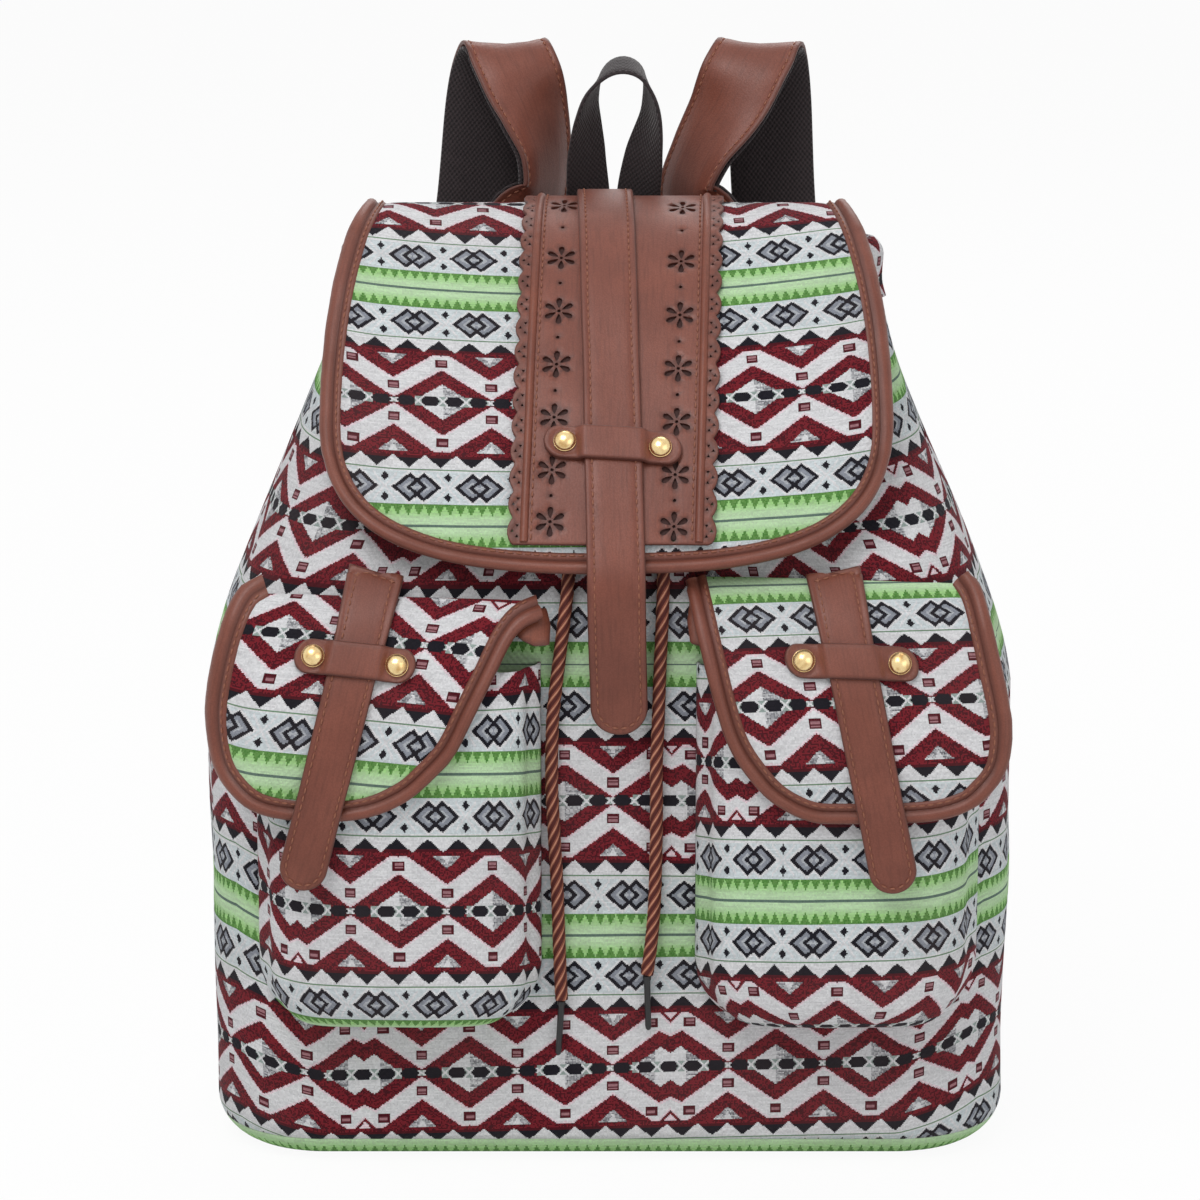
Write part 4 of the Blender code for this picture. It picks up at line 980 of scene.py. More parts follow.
def punched_shapes():
    """Outlines of punched holes on flat points: each point's turn is kept with it."""
    tree, entry, leave = growing_tree("punched_shapes", (
        ("Sides", "Int", 10), ("Width", "Float", 0.0012), ("Length", "Float", 0.0020),
        ("Taper", "Float", 0.0)))
    turn = added(tree, "ShaderNodeCombineXYZ", Z=kept_value(tree, "turn", "FLOAT"))
    ring = added(tree, "GeometryNodeCurvePrimitiveCircle", {"Radius": 0.5}, Resolution=entry.outputs["Sides"])
    along, aside, level = axes_of(tree, tree.nodes.new("GeometryNodeInputPosition").outputs[0])
    wide = aside * (along * 2.0 * Measure(tree, entry.outputs["Taper"]) + 1.0)
    spot = added(tree, "ShaderNodeCombineXYZ", X=along.socket, Y=wide.socket)
    drawn = added(tree, "GeometryNodeSetPosition", Geometry=ring.outputs["Curve"], Position=spot.outputs[0])
    size = added(tree, "ShaderNodeCombineXYZ", {"Z": 1.0}, X=entry.outputs["Length"],
        Y=entry.outputs["Width"])
    shaped = added(tree, "GeometryNodeTransform", Geometry=drawn.outputs[0], Scale=size.outputs[0])
    lines = added(tree, "GeometryNodeCurveToMesh", Curve=shaped.outputs[0])
    return copies_on(tree, entry, leave, entry.outputs["Geometry"], lines, turn)


def grown_mesh(name, carrier, tree, values):
    """The plain mesh that a geometry tree makes from a carrier mesh."""
    holder = in_scene(name + "_carrier", carrier)
    modifier = holder.modifiers.new("grown", "NODES")
    modifier.node_group = tree
    for item in tree.interface.items_tree:
        if item.item_type == "SOCKET" and item.in_out == "INPUT" and item.name in values:
            modifier[item.identifier] = values[item.name]
    mesh = bpy.data.meshes.new_from_object(holder.evaluated_get(bpy.context.evaluated_depsgraph_get()))
    bpy.data.objects.remove(holder, do_unlink=True)
    mesh.name = name
    return mesh


stitch_tree = stitch_row()
rivet_tree = domed_rivets()
punch_tree = punched_shapes()
stitch_lines = []
rivet_spots = []


def punched(spots, sides, width, length, taper=0.0):
    """Hole outlines from flat spots, each an x, y and turn."""
    carrier = bpy.data.meshes.new("punch_points")
    carrier.from_pydata([(x, y, 0) for x, y, turn in spots], [], [])
    carrier.attributes.new("turn", "FLOAT", "POINT").data.foreach_set("value", [turn for x, y, turn in spots])
    mesh = grown_mesh("punched_outlines", carrier, punch_tree,
        {"Sides": sides, "Width": width, "Length": length, "Taper": taper,
        "Material": brown_leather})
    outlines = []
    for start in range(0, len(mesh.vertices), sides):
        outlines.append([Vector(mesh.vertices[start + side].co[:2]) for side in range(sides)])
    bpy.data.meshes.remove(mesh)
    return outlines


def stitched(surface, line, depth):
    """A row of stitches along a flat line on a surface."""
    stitch_lines.append([laid(surface, spot.x, spot.y, depth) for spot in line])


def cut_sheet(outline):
    """Works out the area inside a flat outline; the result is not kept."""
    ring = outline + outline[:1]
    area = abs(sum(one.x * two.y - two.x * one.y for one, two in zip(ring, ring[1:]))) / 2


def grid_sheet(rows):
    """Works out a grid's flat size along its rows and columns; the result is not kept."""
    width = max(distances(row)[-1] for row in rows)
    length = max(distances(line)[-1] for line in zip(*rows))


def on_bag(piece, *nodes, finish="brown_leather"):
    """A piece that rides on the bag and stands for nodes of the part."""
    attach(piece, "bag")
    if nodes:
        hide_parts(*nodes)


# Drawcord tails: the route's points repeat the part's, from the eyelets to the tips
left_route = (
    (-0.0210, 0.0134, 0.3422), (-0.0210, 0.0110, 0.3433), (-0.0210, 0.0086, 0.3440),
    (-0.0210, 0.0061, 0.3432), (-0.0209, 0.0042, 0.3415), (-0.0209, 0.0033, 0.3392),
    (-0.0208, 0.0041, 0.3368), (-0.0208, 0.0036, 0.3343), (-0.0207, 0.0028, 0.3319),
    (-0.0207, 0.0018, 0.3295), (-0.0206, 0.0008, 0.3271), (-0.0206, -0.0002, 0.3247),
    (-0.0205, -0.0013, 0.3224), (-0.0205, -0.0023, 0.3200), (-0.0201, -0.0113, 0.3102),
    (-0.0196, -0.0205, 0.3005), (-0.0191, -0.0298, 0.2909), (-0.0185, -0.0391, 0.2814),
    (-0.0178, -0.0482, 0.2717), (-0.0171, -0.0570, 0.2616), (-0.0164, -0.0651, 0.2510),
    (-0.0164, -0.0719, 0.2396), (-0.0178, -0.0755, 0.2268), (-0.0194, -0.0760, 0.2136),
    (-0.0210, -0.0759, 0.2004), (-0.0224, -0.0759, 0.1871), (-0.0228, -0.0759, 0.1737),
    (-0.0229, -0.0759, 0.1604), (-0.0224, -0.0759, 0.1470), (-0.0217, -0.0759, 0.1337),
    (-0.0210, -0.0759, 0.1204), (-0.0205, -0.0759, 0.1070), (-0.0201, -0.0759, 0.0937),
    (-0.0197, -0.0759, 0.0824), (-0.0192, -0.0759, 0.0710))
right_route = (
    (0.0117, 0.0134, 0.3422), (0.0116, 0.0110, 0.3433), (0.0117, 0.0085, 0.3440),
    (0.0119, 0.0061, 0.3432), (0.0120, 0.0042, 0.3415), (0.0121, 0.0033, 0.3392),
    (0.0123, 0.0041, 0.3368), (0.0124, 0.0036, 0.3343), (0.0126, 0.0028, 0.3319),
    (0.0128, 0.0018, 0.3295), (0.0129, 0.0008, 0.3271), (0.0131, -0.0002, 0.3247),
    (0.0132, -0.0013, 0.3224), (0.0134, -0.0023, 0.3200), (0.0142, -0.0110, 0.3106),
    (0.0151, -0.0198, 0.3012), (0.0161, -0.0288, 0.2920), (0.0172, -0.0378, 0.2828),
    (0.0182, -0.0466, 0.2734), (0.0191, -0.0552, 0.2639), (0.0200, -0.0631, 0.2537),
    (0.0206, -0.0702, 0.2430), (0.0203, -0.0747, 0.2309), (0.0198, -0.0761, 0.2182),
    (0.0193, -0.0759, 0.2053), (0.0189, -0.0759, 0.1924), (0.0185, -0.0759, 0.1795),
    (0.0180, -0.0759, 0.1666), (0.0181, -0.0759, 0.1537), (0.0181, -0.0759, 0.1408),
    (0.0179, -0.0759, 0.1280), (0.0176, -0.0759, 0.1151), (0.0170, -0.0759, 0.1035),
    (0.0160, -0.0759, 0.0925), (0.0146, -0.0759, 0.0815))
cord_lobes = 9
cord_twist = 0.0250
cord_tip_radius = 0.0013
cord_tip_length = 0.0230


def steady_frames(line):
    """For each point of a line, two directions across it that don't twist."""
    frames = []
    side = Vector((1, 0, 0))
    for index in range(len(line)):
        along = heading(line, index).normalized()
        side = (side - along * side.dot(along)).normalized()
        frames.append((along, side, along.cross(side)))
    return frames


def twisted_cord(name, route):
    """A cord of twisted strands along its route."""
    line = smooth_line(route, 400)
    stations = []
    places = []
    sides = 48
    for spot, (along, across, out), distance in zip(line, steady_frames(line), distances(line)):
        turn = 2 * pi * distance / cord_twist
        ring = []
        for side in range(sides):
            angle = 2 * pi * side / sides
            lobe = abs(cos(cord_lobes * (angle - turn) / 2))
            radius = cord_radius * (0.86 + 0.14 * lobe)
            ring.append(spot + across * cos(angle) * radius + out * sin(angle) * radius)
        stations.append(ring)
        start = 0.25 - cord_lobes * distance / cord_twist / 2
        places.append([(start + cord_lobes * side / sides / 2, distance) for side in range(sides)])
    piece = swept(name, stations, places, strands, soft_angle=180)
    wrap_strands(piece)
    return piece


def wrap_strands(piece):
    """The last face of each ring closes the strands' places without a jump."""
    layer = piece.data.uv_layers["place"].data
    for polygon in piece.data.polygons:
        if len(polygon.vertices) != 4:
            continue
        spots = [layer[loop].uv for loop in polygon.loop_indices]
        low = min(spot[0] for spot in spots)
        for spot in spots:
            if spot[0] - low > cord_lobes / 4:
                spot[0] -= cord_lobes / 2


def turned_piece(name, profile, start, axis, material, sides=20):
    """A round piece turned about an axis from radius and height pairs."""
    turn = Vector((0, 0, 1)).rotation_difference(axis).to_matrix()
    angles = [2 * pi * side / sides for side in range(sides)]
    stations = [[turn @ Vector((radius * cos(angle), radius * sin(angle), height)) + start
        for angle in angles] for radius, height in profile]
    places = [[(side / sides, height) for side in range(sides)] for radius, height in profile]
    return swept(name, stations, places, material, soft_angle=35)


for word, route, tip_shift in (("left", left_route, -0.0014), ("right", right_route, 0.0006)):
    tail = twisted_cord("drawcord_tail_" + word, route)
    length = distances([Vector(spot) for spot in route])[-1]
    on_bag(tail, "cord_" + word, finish="twisted_cord")
    last = Vector(route[-1])
    start = last + (last - Vector(route[-2])).normalized() * gap
    end = start + Vector((tip_shift, 0, -cord_tip_length))
    radius = cord_tip_radius
    tip = turned_piece("drawcord_end_" + word,
        [(radius * 0.8, 0), (radius * 1.25, 0.0004), (radius * 1.25, 0.002), (radius, 0.0026),
        (radius * 0.95, cord_tip_length - 0.002), (radius * 0.8, cord_tip_length - 0.0006),
        (radius * 0.4, cord_tip_length)], start, (end - start).normalized(), tip_black)
    on_bag(tip, "cord_tip_" + word, finish="black_tip")
    tuple(route[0])
    [tuple(spot) for spot in route]


# Form of the body
def blend(start, end, height):
    """Progress from one height to another, held between 0 and 1."""
    return min(max((height - start) / (end - start), 0.0), 1.0)


def eased(share):
    """Progress that starts and ends gently."""
    return share * share * (3 - 2 * share)


def half_width(height):
    """Half the width of the bag at a height."""
    share = blend(shoulder_height, neck_height, height)
    ease = 0.5 * (share + eased(share))
    return (body_width + (neck_width - body_width) * ease) / 2


def front_line(height):
    """Where the front panel stands at a height."""
    share = blend(lean_height, neck_height, height)
    ease = 0.5 * (share ** 1.35 + eased(share))
    return -body_depth / 2 + (body_depth - neck_lean - neck_depth) * ease


def back_line(height):
    """Where the back panel stands at a height."""
    return body_depth / 2 - neck_lean * blend(shoulder_height, neck_height, height)


def corner(height):
    """Radius of the bag's upright corners at a height."""
    return min(corner_radius, 0.46 * (back_line(height) - front_line(height)))


def side_lengths(height):
    """Lengths of the front, corner and side stretches of the outline at a height."""
    radius = corner(height)
    flat = 2 * (half_width(height) - radius)
    flank = back_line(height) - front_line(height) - 2 * radius
    return flat, pi / 2 * radius, flank


def girth_place(turn, height):
    """Distance round the bag from the left front corner to a turn, at a height."""
    flat, bend, flank = side_lengths(height)
    stretches = (flat, bend, flank, bend, flat, bend, flank, bend)
    rounds = math.floor(turn / 8)
    rest = turn - 8 * rounds
    whole = min(math.floor(rest), 7)
    passed = sum(stretches[:whole]) + stretches[whole] * (rest - whole)
    return passed + rounds * sum(stretches)


neck_girth = girth_place(8, neck_height)
pattern_height = 0.060


def sway(point):
    """Slack of the cloth: how far it stands out at a place."""
    broad = noise.noise(Vector((point.x * 19, point.y * 7, point.z * 15 + 3.0)))
    small = noise.noise(Vector((point.x * 46 + 9.0, point.y * 14, point.z * 30)))
    return 0.0013 * broad + 0.0006 * small


def skin(turn, height, depth=0.0):
    """A point of the body's skin, or of a layer at a depth inside it."""
    turn = turn % 8
    part = math.floor(turn)
    share = turn - part
    radius = corner(height)
    tuck = 0.0
    if height < base_edge_radius:
        tuck = base_edge_radius - sqrt(base_edge_radius ** 2 - (base_edge_radius - height) ** 2)
    across = half_width(height) - radius
    front = front_line(height) + radius
    back = back_line(height) - radius
    spots = ((-across, front, -90, 0), (across, front, -90, 90),
        (across, front, 0, 0), (across, back, 0, 90),
        (across, back, 90, 0), (-across, back, 90, 90),
        (-across, back, 180, 0), (-across, front, 180, 90))
    x, y, angle, sweep = spots[part]
    angle = radians(angle + sweep * share)
    if part == 0:
        x += 2 * across * share
    elif part == 2:
        y += (back - front) * share
    elif part == 4:
        x -= 2 * across * share
    elif part == 6:
        y -= (back - front) * share
    out = Vector((cos(angle), sin(angle), 0))
    rise = blend(lean_height, casing_bottom, height)
    deep = back_gather_depth if 3 <= turn <= 6 else gather_depth
    if part in (2, 6):
        deep += (back_gather_depth - gather_depth) * (share if part == 2 else 1 - share)
    wave = gather_count * girth_place(turn, neck_height) / neck_girth
    gather = deep * rise * rise * cos(2 * pi * wave)
    full = 0.0
    if part in (2, 4, 6):
        full = body_fullness * 4 * share * (1 - share) * sin(pi * blend(0, neck_height, height))
    point = Vector((x, y, height)) + out * (radius + gather + full - tuck - depth)
    slack = sway(point) * (1 - 0.7 * blend(0.30, casing_bottom, height)) * blend(0.006, 0.045, height)
    return point + out * slack


def climb(height, line):
    """Distance up a panel to a height, along its line seen from the side."""
    if height <= lean_height:
        return height
    steps = 12
    total = lean_height
    for step in range(steps):
        one = lean_height + (height - lean_height) * step / steps
        two = lean_height + (height - lean_height) * (step + 1) / steps
        total += hypot(two - one, line(two) - line(one))
    return total


def front_place(turn):
    """Distance round the bag from the middle of its front to a turn."""
    return girth_place(turn, pattern_height) - side_lengths(pattern_height)[0] / 2


def cloth_place(turn, height):
    """Place on the stripes for a place on the body."""
    signed = turn if turn < 5 else turn - 8
    x = front_place(signed)
    lean = 1 - blend(1, 3, abs(signed - 0.5) + 0.5)
    up = climb(height, back_line) * (1 - lean) + climb(height, front_line) * lean
    beyond = max(abs(x) - side_lengths(pattern_height)[0] / 2, 0.0)
    lift = min(0.24 * beyond, 0.0090) * (1 - blend(0.16, 0.22, height))
    tilt = 0.028 * max(min(x, 0.15), -0.15) * (1 - blend(0.05, 0.12, height))
    return (x + body_bead_shift, up - body_bead_height - lift - tilt)


def body_panel(name, start, end, columns, heights, node):
    """A panel of the body between two turns."""
    turns = spread(start, end, columns)
    rows = [[skin(turn, height) for turn in turns] for height in heights]
    places = [[cloth_place(turn, height) for turn in turns] for height in heights]
    piece = cloth_grid(name, rows, places, [canvas, lining], fabric * 0.5)
    on_bag(piece, node, finish="woven_canvas")
    grid_sheet(rows)


panel_top = neck_height - gap
panel_foot = base_rim_height + gap
seam = 3 - gap / side_lengths(shoulder_height)[2]
body_heights = spread(panel_foot, 0.030, 10)[:-1] + spread(0.030, panel_top, 150)
body_panel("front_panel", 1 - seam, seam, 308, body_heights, "body_front")
body_panel("back_panel", 3, 6, 300, body_heights, "body_back")


def base_floor():
    """Floor of the bag with its edge turned up to the side panels' seam."""
    turns = spread(0, 8, 241)[:-1]
    levels = [(0.0, 0.25), (0.0, 0.6), (0.0, 0.85), (0.0, 1.0)]
    levels += [(base_rim_height * share, 1.0) for share in (0.08, 0.2, 0.35, 0.5, 0.65, 0.8, 0.92, 1.0)]
    rows = []
    places = []
    for height, share in levels:
        ring = [skin(turn, height) for turn in turns]
        rows.append([Vector((spot.x * share, spot.y * share, spot.z)) for spot in ring])
        places.append([(girth_place(turn if turn < 5 else turn - 8, pattern_height) + body_bead_shift,
            0.046 + height * 0.75 - (1 - share) * 0.07) for turn in turns])
    points = [spot for row in rows for spot in row] + [Vector((0, 0, 0))]
    spots = [spot for row in places for spot in row] + [(0, 0)]
    count = len(turns)
    faces = grid_faces(len(rows), count, True)
    faces += [(len(points) - 1, (column + 1) % count, column) for column in range(count)]
    piece = placed_mesh("base_floor", points, faces, spots, [canvas, lining], soft_angle=180)
    with_thickness(piece, fabric * 0.6)
    on_bag(piece, "base_panel", finish="woven_canvas")


base_floor()

# Drawstring casing round the mouth
cord_height = neck_height + cord_radius + gap
casing_middle = fabric / 2
casing_room = cord_radius + casing_slack
casing_top = cord_height + casing_arch + casing_wall
casing_outer = [(-gap - casing_wall, casing_bottom), (-gap - casing_wall, casing_bottom + 0.006),
    (casing_middle - casing_room - casing_wall, cord_height - 0.0015),
    (casing_middle - casing_room * 0.8 - casing_wall, cord_height + 0.0035),
    (casing_middle, casing_top),
    (casing_middle + casing_room * 0.8 + casing_wall, cord_height + 0.0035),
    (casing_middle + casing_room + casing_wall, cord_height - 0.0015),
    (fabric + gap + casing_wall, neck_height - 0.005),
    (fabric + gap + casing_wall, casing_bottom)]
casing_line = smooth_line([(depth, height, 0) for depth, height in casing_outer], 26)


def gathered_casing():
    """Casing of the drawcord, gathered with the body's neck."""
    turns = spread(-2, 6, 481)
    rows = []
    places = []
    for spot, travelled in zip(casing_line, distances(casing_line)):
        rows.append([skin(turn, spot.y, spot.x) for turn in turns[:-1]])
        rows[-1].append(rows[-1][0].copy())
        level = climb(casing_bottom, front_line) - body_bead_height + travelled
        places.append([(front_place(turn) + body_bead_shift, level) for turn in turns])
    piece = cloth_grid("gathered_casing", rows, places, [canvas, lining], casing_wall * 0.7)
    on_bag(piece, "neck_casing", finish="woven_canvas")
    grid_sheet(rows)
    merged = bmesh.new()
    merged.from_mesh(piece.data)
    bmesh.ops.remove_doubles(merged, verts=merged.verts, dist=1e-6)
    merged.to_mesh(piece.data)
    merged.free()


gathered_casing()

# Layers of the main flap and of the pocket flaps, as distances in front of their lining
lining_back = 0.0
cloth_inset = binding_width * 0.8
binding_low = -0.0004
binding_high = binding_low + binding_height
patch_low = fabric + layer_gap
patch_high = patch_low + leather
flap_strap_low = patch_high + layer_gap
flap_strap_high = flap_strap_low + leather
strap_step = binding_high + gap - patch_low


def back_face(height):
    """The outermost face of the back panel at a height, gathers and fullness included."""
    rise = blend(lean_height, casing_bottom, height)
    full = body_fullness * sin(pi * blend(0, neck_height, height))
    return back_line(height) + full + back_gather_depth * rise * rise


flap_knots = [(back_face(neck_height - drop) + gap, neck_height - drop) for drop in (0.034, 0.020)]
flap_knots += [(back_line(neck_height) + y, neck_height + z) for y, z in (
    (0.0065, -0.008), (0.0080, 0.003), (0.0055, 0.012),
    (-0.0025, 0.0178), (-0.0135, 0.0200), (-0.0255, 0.0185))]
flap_knots += [(front_line(neck_height - drop) - stand_off, neck_height - drop) for drop, stand_off in (
    (-0.0132, 0.0035), (-0.0025, 0.0195), (0.0120, 0.0287),
    (0.0460, 0.0285), (0.0750, 0.0209), (0.1020, 0.0145),
    (0.1140, 0.0095), (0.1280, 0.0058), (0.1470, 0.0024), (0.1820, 0.0007))]
flap_side = smooth_line([(0, y, z) for y, z in flap_knots], 600)
crest_place = max(range(len(flap_side)), key=lambda index: flap_side[index].z)
side_step = (flap_side[1] - flap_side[0]).length


def flap_surface(a, b):
    """The main flap's lining at a distance a across and b up from the crest."""
    place = min(max(crest_place - b / side_step, 0.0), len(flap_side) - 1.001)
    index = math.floor(place)
    point = flap_side[index].lerp(flap_side[index + 1], place - index)
    over = max(abs(a) - (half_width(point.z) - corner(point.z)), 0.0)
    bend = over * over / (2 * corner(point.z)) if b < 0 else 0.0
    slack = sway(Vector((a, point.y, point.z))) * blend(0.0, 0.05, -b)
    return Vector((a, point.y + bend * min(-b / 0.03, 1.0) - slack if b < 0 else point.y, point.z))


def flap_edge():
    """Open outline of the main flap, down its left side and up its right."""
    half = []
    for drop in spread(-flap_back_hem, flap_wide_drop, 60)[:-1]:
        share = blend(0.0, flap_wide_drop, drop)
        wide = flap_top_half_width + (flap_half_width - flap_top_half_width) * sin(share * pi / 2)
        half.append((wide, -drop))
    for step in range(49):
        angle = pi / 2 * step / 48
        x = flap_half_width * cos(angle) ** (2 / flap_roundness) if step < 48 else 0.0
        drop = flap_wide_drop + (flap_drop - flap_wide_drop) * sin(angle) ** (2 / flap_roundness)
        half.append((x, -drop))
    left = [Vector((flap_centre - x, b)) for x, b in half]
    right = [Vector((flap_centre + x, b)) for x, b in half[:-1]]
    return left + right[::-1]


def framed(surface, centre, right, up):
    """A surface in a frame of its own: u along right and v along up, from a centre."""
    def local(u, v):
        return surface(centre[0] + u * right[0] + v * up[0], centre[1] + u * right[1] + v * up[1])
    return local


def leaning(degrees):
    """The two axes of a frame whose upright leans to the left at its top."""
    angle = radians(degrees)
    return (cos(angle), sin(angle)), (-sin(angle), cos(angle))


def strap_outline(width, top, tip):
    """A strap's outline in its own frame: square at the top, round at the tip."""
    radius = width / 2
    outline = [Vector((-radius, top)), Vector((-radius, tip + radius))]
    outline += arc(radius, 180, range(1, 18), up=tip + radius)
    return outline + [Vector((radius, tip + radius)), Vector((radius, top))]


def strap_seam(width, top, tip, margin, count):
    """Line of stitches down one side of a strap, round its tip and up the other, with a count of
    points down each side."""
    radius = width / 2 - margin
    bend = tip + width / 2
    line = [Vector((-radius, level)) for level in spread(top - 0.003, bend, count)]
    line += arc(radius, 180, range(1, 18), up=bend)
    return line + [Vector((radius, level)) for level in spread(bend, top - 0.003, count)]


def sewn_form(margin, groove=0.00035):
    """Height of a leather piece by distance from its edge: a groove under its stitches."""
    def form(distance, a, b):
        return -groove * exp(-((distance - margin) / 0.0007) ** 2)
    return form


# Cross-section of a binding as shares across it, inwards, and up from its low side
binding_profile = ((-1.00, 0.45), (-0.95, 0.72), (-0.80, 0.91), (-0.55, 1.00), (-0.28, 0.98), (-0.05, 0.85),
    (0.09, 0.66), (0.19, 0.57), (0.30, 0.63), (0.50, 0.70), (0.74, 0.68), (0.92, 0.56),
    (1.00, 0.36), (0.94, 0.10), (0.60, 0.00), (-0.60, 0.00), (-0.94, 0.18))
# How dark each point of the section is: a burnished cut edge on the inner side, and painted shade on the
# roll's outer side, in the groove between roll and flange and underneath
binding_burnish_and_shade = (0.7, 0.35, 0.1, 0.0, 0.0, 0.1, 0.6, 1.0, 0.7, 0.1, 0.1, 0.5, 1.0, 1.0, 1.0, 1.0, 1.0)


def rounded_binding(name, line, surface, node):
    """A rolled leather edge along a flat line on a surface, with its stitches."""
    stations = []
    places = []
    seam_line = []
    for index, (spot, travelled) in enumerate(zip(line, distances(line))):
        along = heading(line, index).normalized()
        inward = Vector((-along.y, along.x))
        pucker = 1 + 0.05 * noise.noise(Vector((travelled * 240, 3.1, 0))) + 0.06 * noise.noise(
            Vector((travelled * 60, 8.2, 0)))
        ring = []
        for share, level in binding_profile:
            away = spot + inward * share * binding_width / 2 * (1 + 0.3 * (pucker - 1))
            ring.append(laid(surface, away.x, away.y, binding_low + binding_height * level * pucker))
        stations.append(ring)
        places.append([(share * binding_width, travelled) for share, level in binding_profile])
        seam_line.append(spot + inward * 0.62 * binding_width / 2)
    stitched(surface, seam_line[2:-2], binding_low + binding_height * 0.74)
    piece = swept(name, stations, places, brown_leather, binding_burnish_and_shade * len(line))
    on_bag(piece, node)


def flap_place(a, b):
    """Place on the stripes for a place on the main flap; its rows sag."""
    away = float(np.interp(b, flap_row_drops, flap_row_places))
    sag = 0.62 + 3.8 * away if away > 0 else 0.62 + 4.0 * away
    sag = min(max(sag, 0.30), 1.10)
    return (a + flap_bead_shift + 0.05 * max(away, 0.0), away - 0.030 * a - sag * a * a)


# Main flap
edge = flap_edge()
level, upright = leaning(flap_strap_lean)
keeper_spot = (flap_strap_centre + level[1] / level[0] * flap_keeper_drop, -flap_keeper_drop)
keeper_frame = framed(flap_surface, keeper_spot, leaning(flap_keeper_tilt)[0], upright)
strap_frame = framed(flap_surface, (flap_strap_centre, 0.0), level, upright)


def soft_cloth_form(distance, a, b):
    """Cloth dips a little where it goes under its binding."""
    return -0.0008 * exp(-distance / 0.003)


cloth_edge = inset_line(edge, cloth_inset)
flap_cloth = cut_piece("main_flap_cloth", cloth_edge, flap_surface, lining_back, fabric, 0.0028, [canvas],
    form=soft_cloth_form, place=flap_place, rounding=0.0008)
on_bag(flap_cloth, "flap_cover", finish="flap_canvas")
cut_sheet(cloth_edge)
rounded_binding("main_flap_edge", even_flat(inset_line(edge, binding_width / 2), 0.0022), flap_surface,
    "flap_binding")

lace_frame = framed(flap_surface, (lace_centre, 0.0), (1.0, 0.0), leaning(-lace_lean)[1])
lace_length = lace_drop + over_crest
scallops = round(lace_length / scallop_pitch)


def lace_edge():
    """The lace panel's outline: shallow scallops between points down both sides."""
    side = []
    for step in range(scallops * 10 + 1):
        bite = scallop_depth * (1 - abs(sin(pi * step / 10)) ** 0.8)
        side.append((lace_half_width - bite, over_crest - lace_length * step / (scallops * 10)))
    return flat_points([(-u, v) for u, v in side] + side[::-1])


ridge_place = lace_half_width - 0.0067
fold_width = 0.0034


def lace_form(distance, a, b):
    """Height of the lace panel: pressed down beside its folds."""
    away = abs(abs(a) - ridge_place) - fold_width / 2
    return -0.0004 * exp(-(away / 0.0006) ** 2)


def lace_holes():
    """Petals, dots and small three-sided holes punched through the lace panel."""
    petals = []
    dots = []
    threes = []
    for side in (-1, 1):
        for number, drop in enumerate(flower_drops):
            middle = (side * flower_spread * 0.93, -drop - side * flower_shift)
            reach = flower_radius * 0.60
            for angle in (radians(90 + 60 * petal) for petal in range(6)):
                petals.append((middle[0] + reach * cos(angle), middle[1] + reach * sin(angle),
                    angle))
            dots.append((middle[0], middle[1], 0.0))
            if number < len(flower_drops) - 1:
                dots.append((middle[0], -(drop + flower_drops[number + 1]) / 2 - side * flower_shift, 0.0))
        for scallop in range(scallops):
            top = over_crest - lace_length * (scallop + 0.5) / scallops
            for across, down, turn in ((0.0020, 0.0, 0.0), (0.0039, 0.0022, pi), (0.0039, -0.0022, 0.0)):
                threes.append((side * (lace_half_width - across), top + down, turn + radians(90)))
    return (punched(petals, 12, 0.0021, 0.0047, 0.55) + punched(dots, 10, 0.0014, 0.0014)
        + punched(threes, 3, 0.0015, 0.0016))


lace = cut_piece("lace_leather", lace_edge(), lace_frame, patch_low + 0.0006, patch_high, 0.0024,
    [brown_leather], holes=lace_holes(), form=lace_form, rounding=0.0004, burnish=0.0007)
# Painted shade: a dark sheet under the lace panel, seen through its punched holes
shade_sheet_reach = lace_half_width - 0.0034
shade_sheet_foot = -lace_drop + 0.002
shade_sheet_line = flat_points(((-shade_sheet_reach, over_crest), (-shade_sheet_reach, shade_sheet_foot),
    (shade_sheet_reach, shade_sheet_foot), (shade_sheet_reach, over_crest)))
shade_sheet = cut_piece("lace_hole_shade", shade_sheet_line, lace_frame, patch_low, patch_low + 0.0005, 0.004,
    [hole_shade_material], rounding=0.0002)
on_bag(lace, "flap_lace_panel")
on_bag(shade_sheet)
fold_profile = [(0.5 * cos(angle), sin(angle)) for angle in map(radians, range(0, 181, 20))]
fold_levels = spread(over_crest - 0.001, -lace_drop + 0.001, 220)
for side, word in ((-1, "left"), (1, "right")):
    rings = []
    for v in fold_levels:
        tall = 0.0017 * (1 + 0.08 * noise.noise(Vector((v * 300, side, 0))))
        rings.append([laid(lace_frame, side * ridge_place + across * fold_width, v,
            patch_high - 0.0005 + rise * tall) for across, rise in fold_profile])
    places = [[(across * fold_width, v) for across, rise in fold_profile] for v in fold_levels]
    # Painted shade along the fold's foot on both sides, where it meets the panel
    rims = [1.0 if rise < 0.2 else 0.0 for across, rise in fold_profile] * len(fold_levels)
    on_bag(swept("lace_fold_" + word, rings, places, fold_leather, rims))
    stitched(lace_frame, [Vector((side * (lace_half_width - 0.0094), v))
        for v in spread(over_crest - 0.004, -lace_drop + 0.003, 90)], patch_high + 0.0002)

closing_strap = cut_piece("closing_strap", strap_outline(flap_strap_width, over_crest, -flap_strap_drop),
    strap_frame, flap_strap_low, flap_strap_high, 0.0024, [brown_leather],
    form=sewn_form(flap_strap_margin), rings=(0.0021, 0.0028, 0.0035), rounding=0.0008)
on_bag(closing_strap, "flap_strap")
stitched(strap_frame, strap_seam(flap_strap_width, over_crest, -flap_strap_drop, flap_strap_margin, 60),
    flap_strap_high - 0.0001)


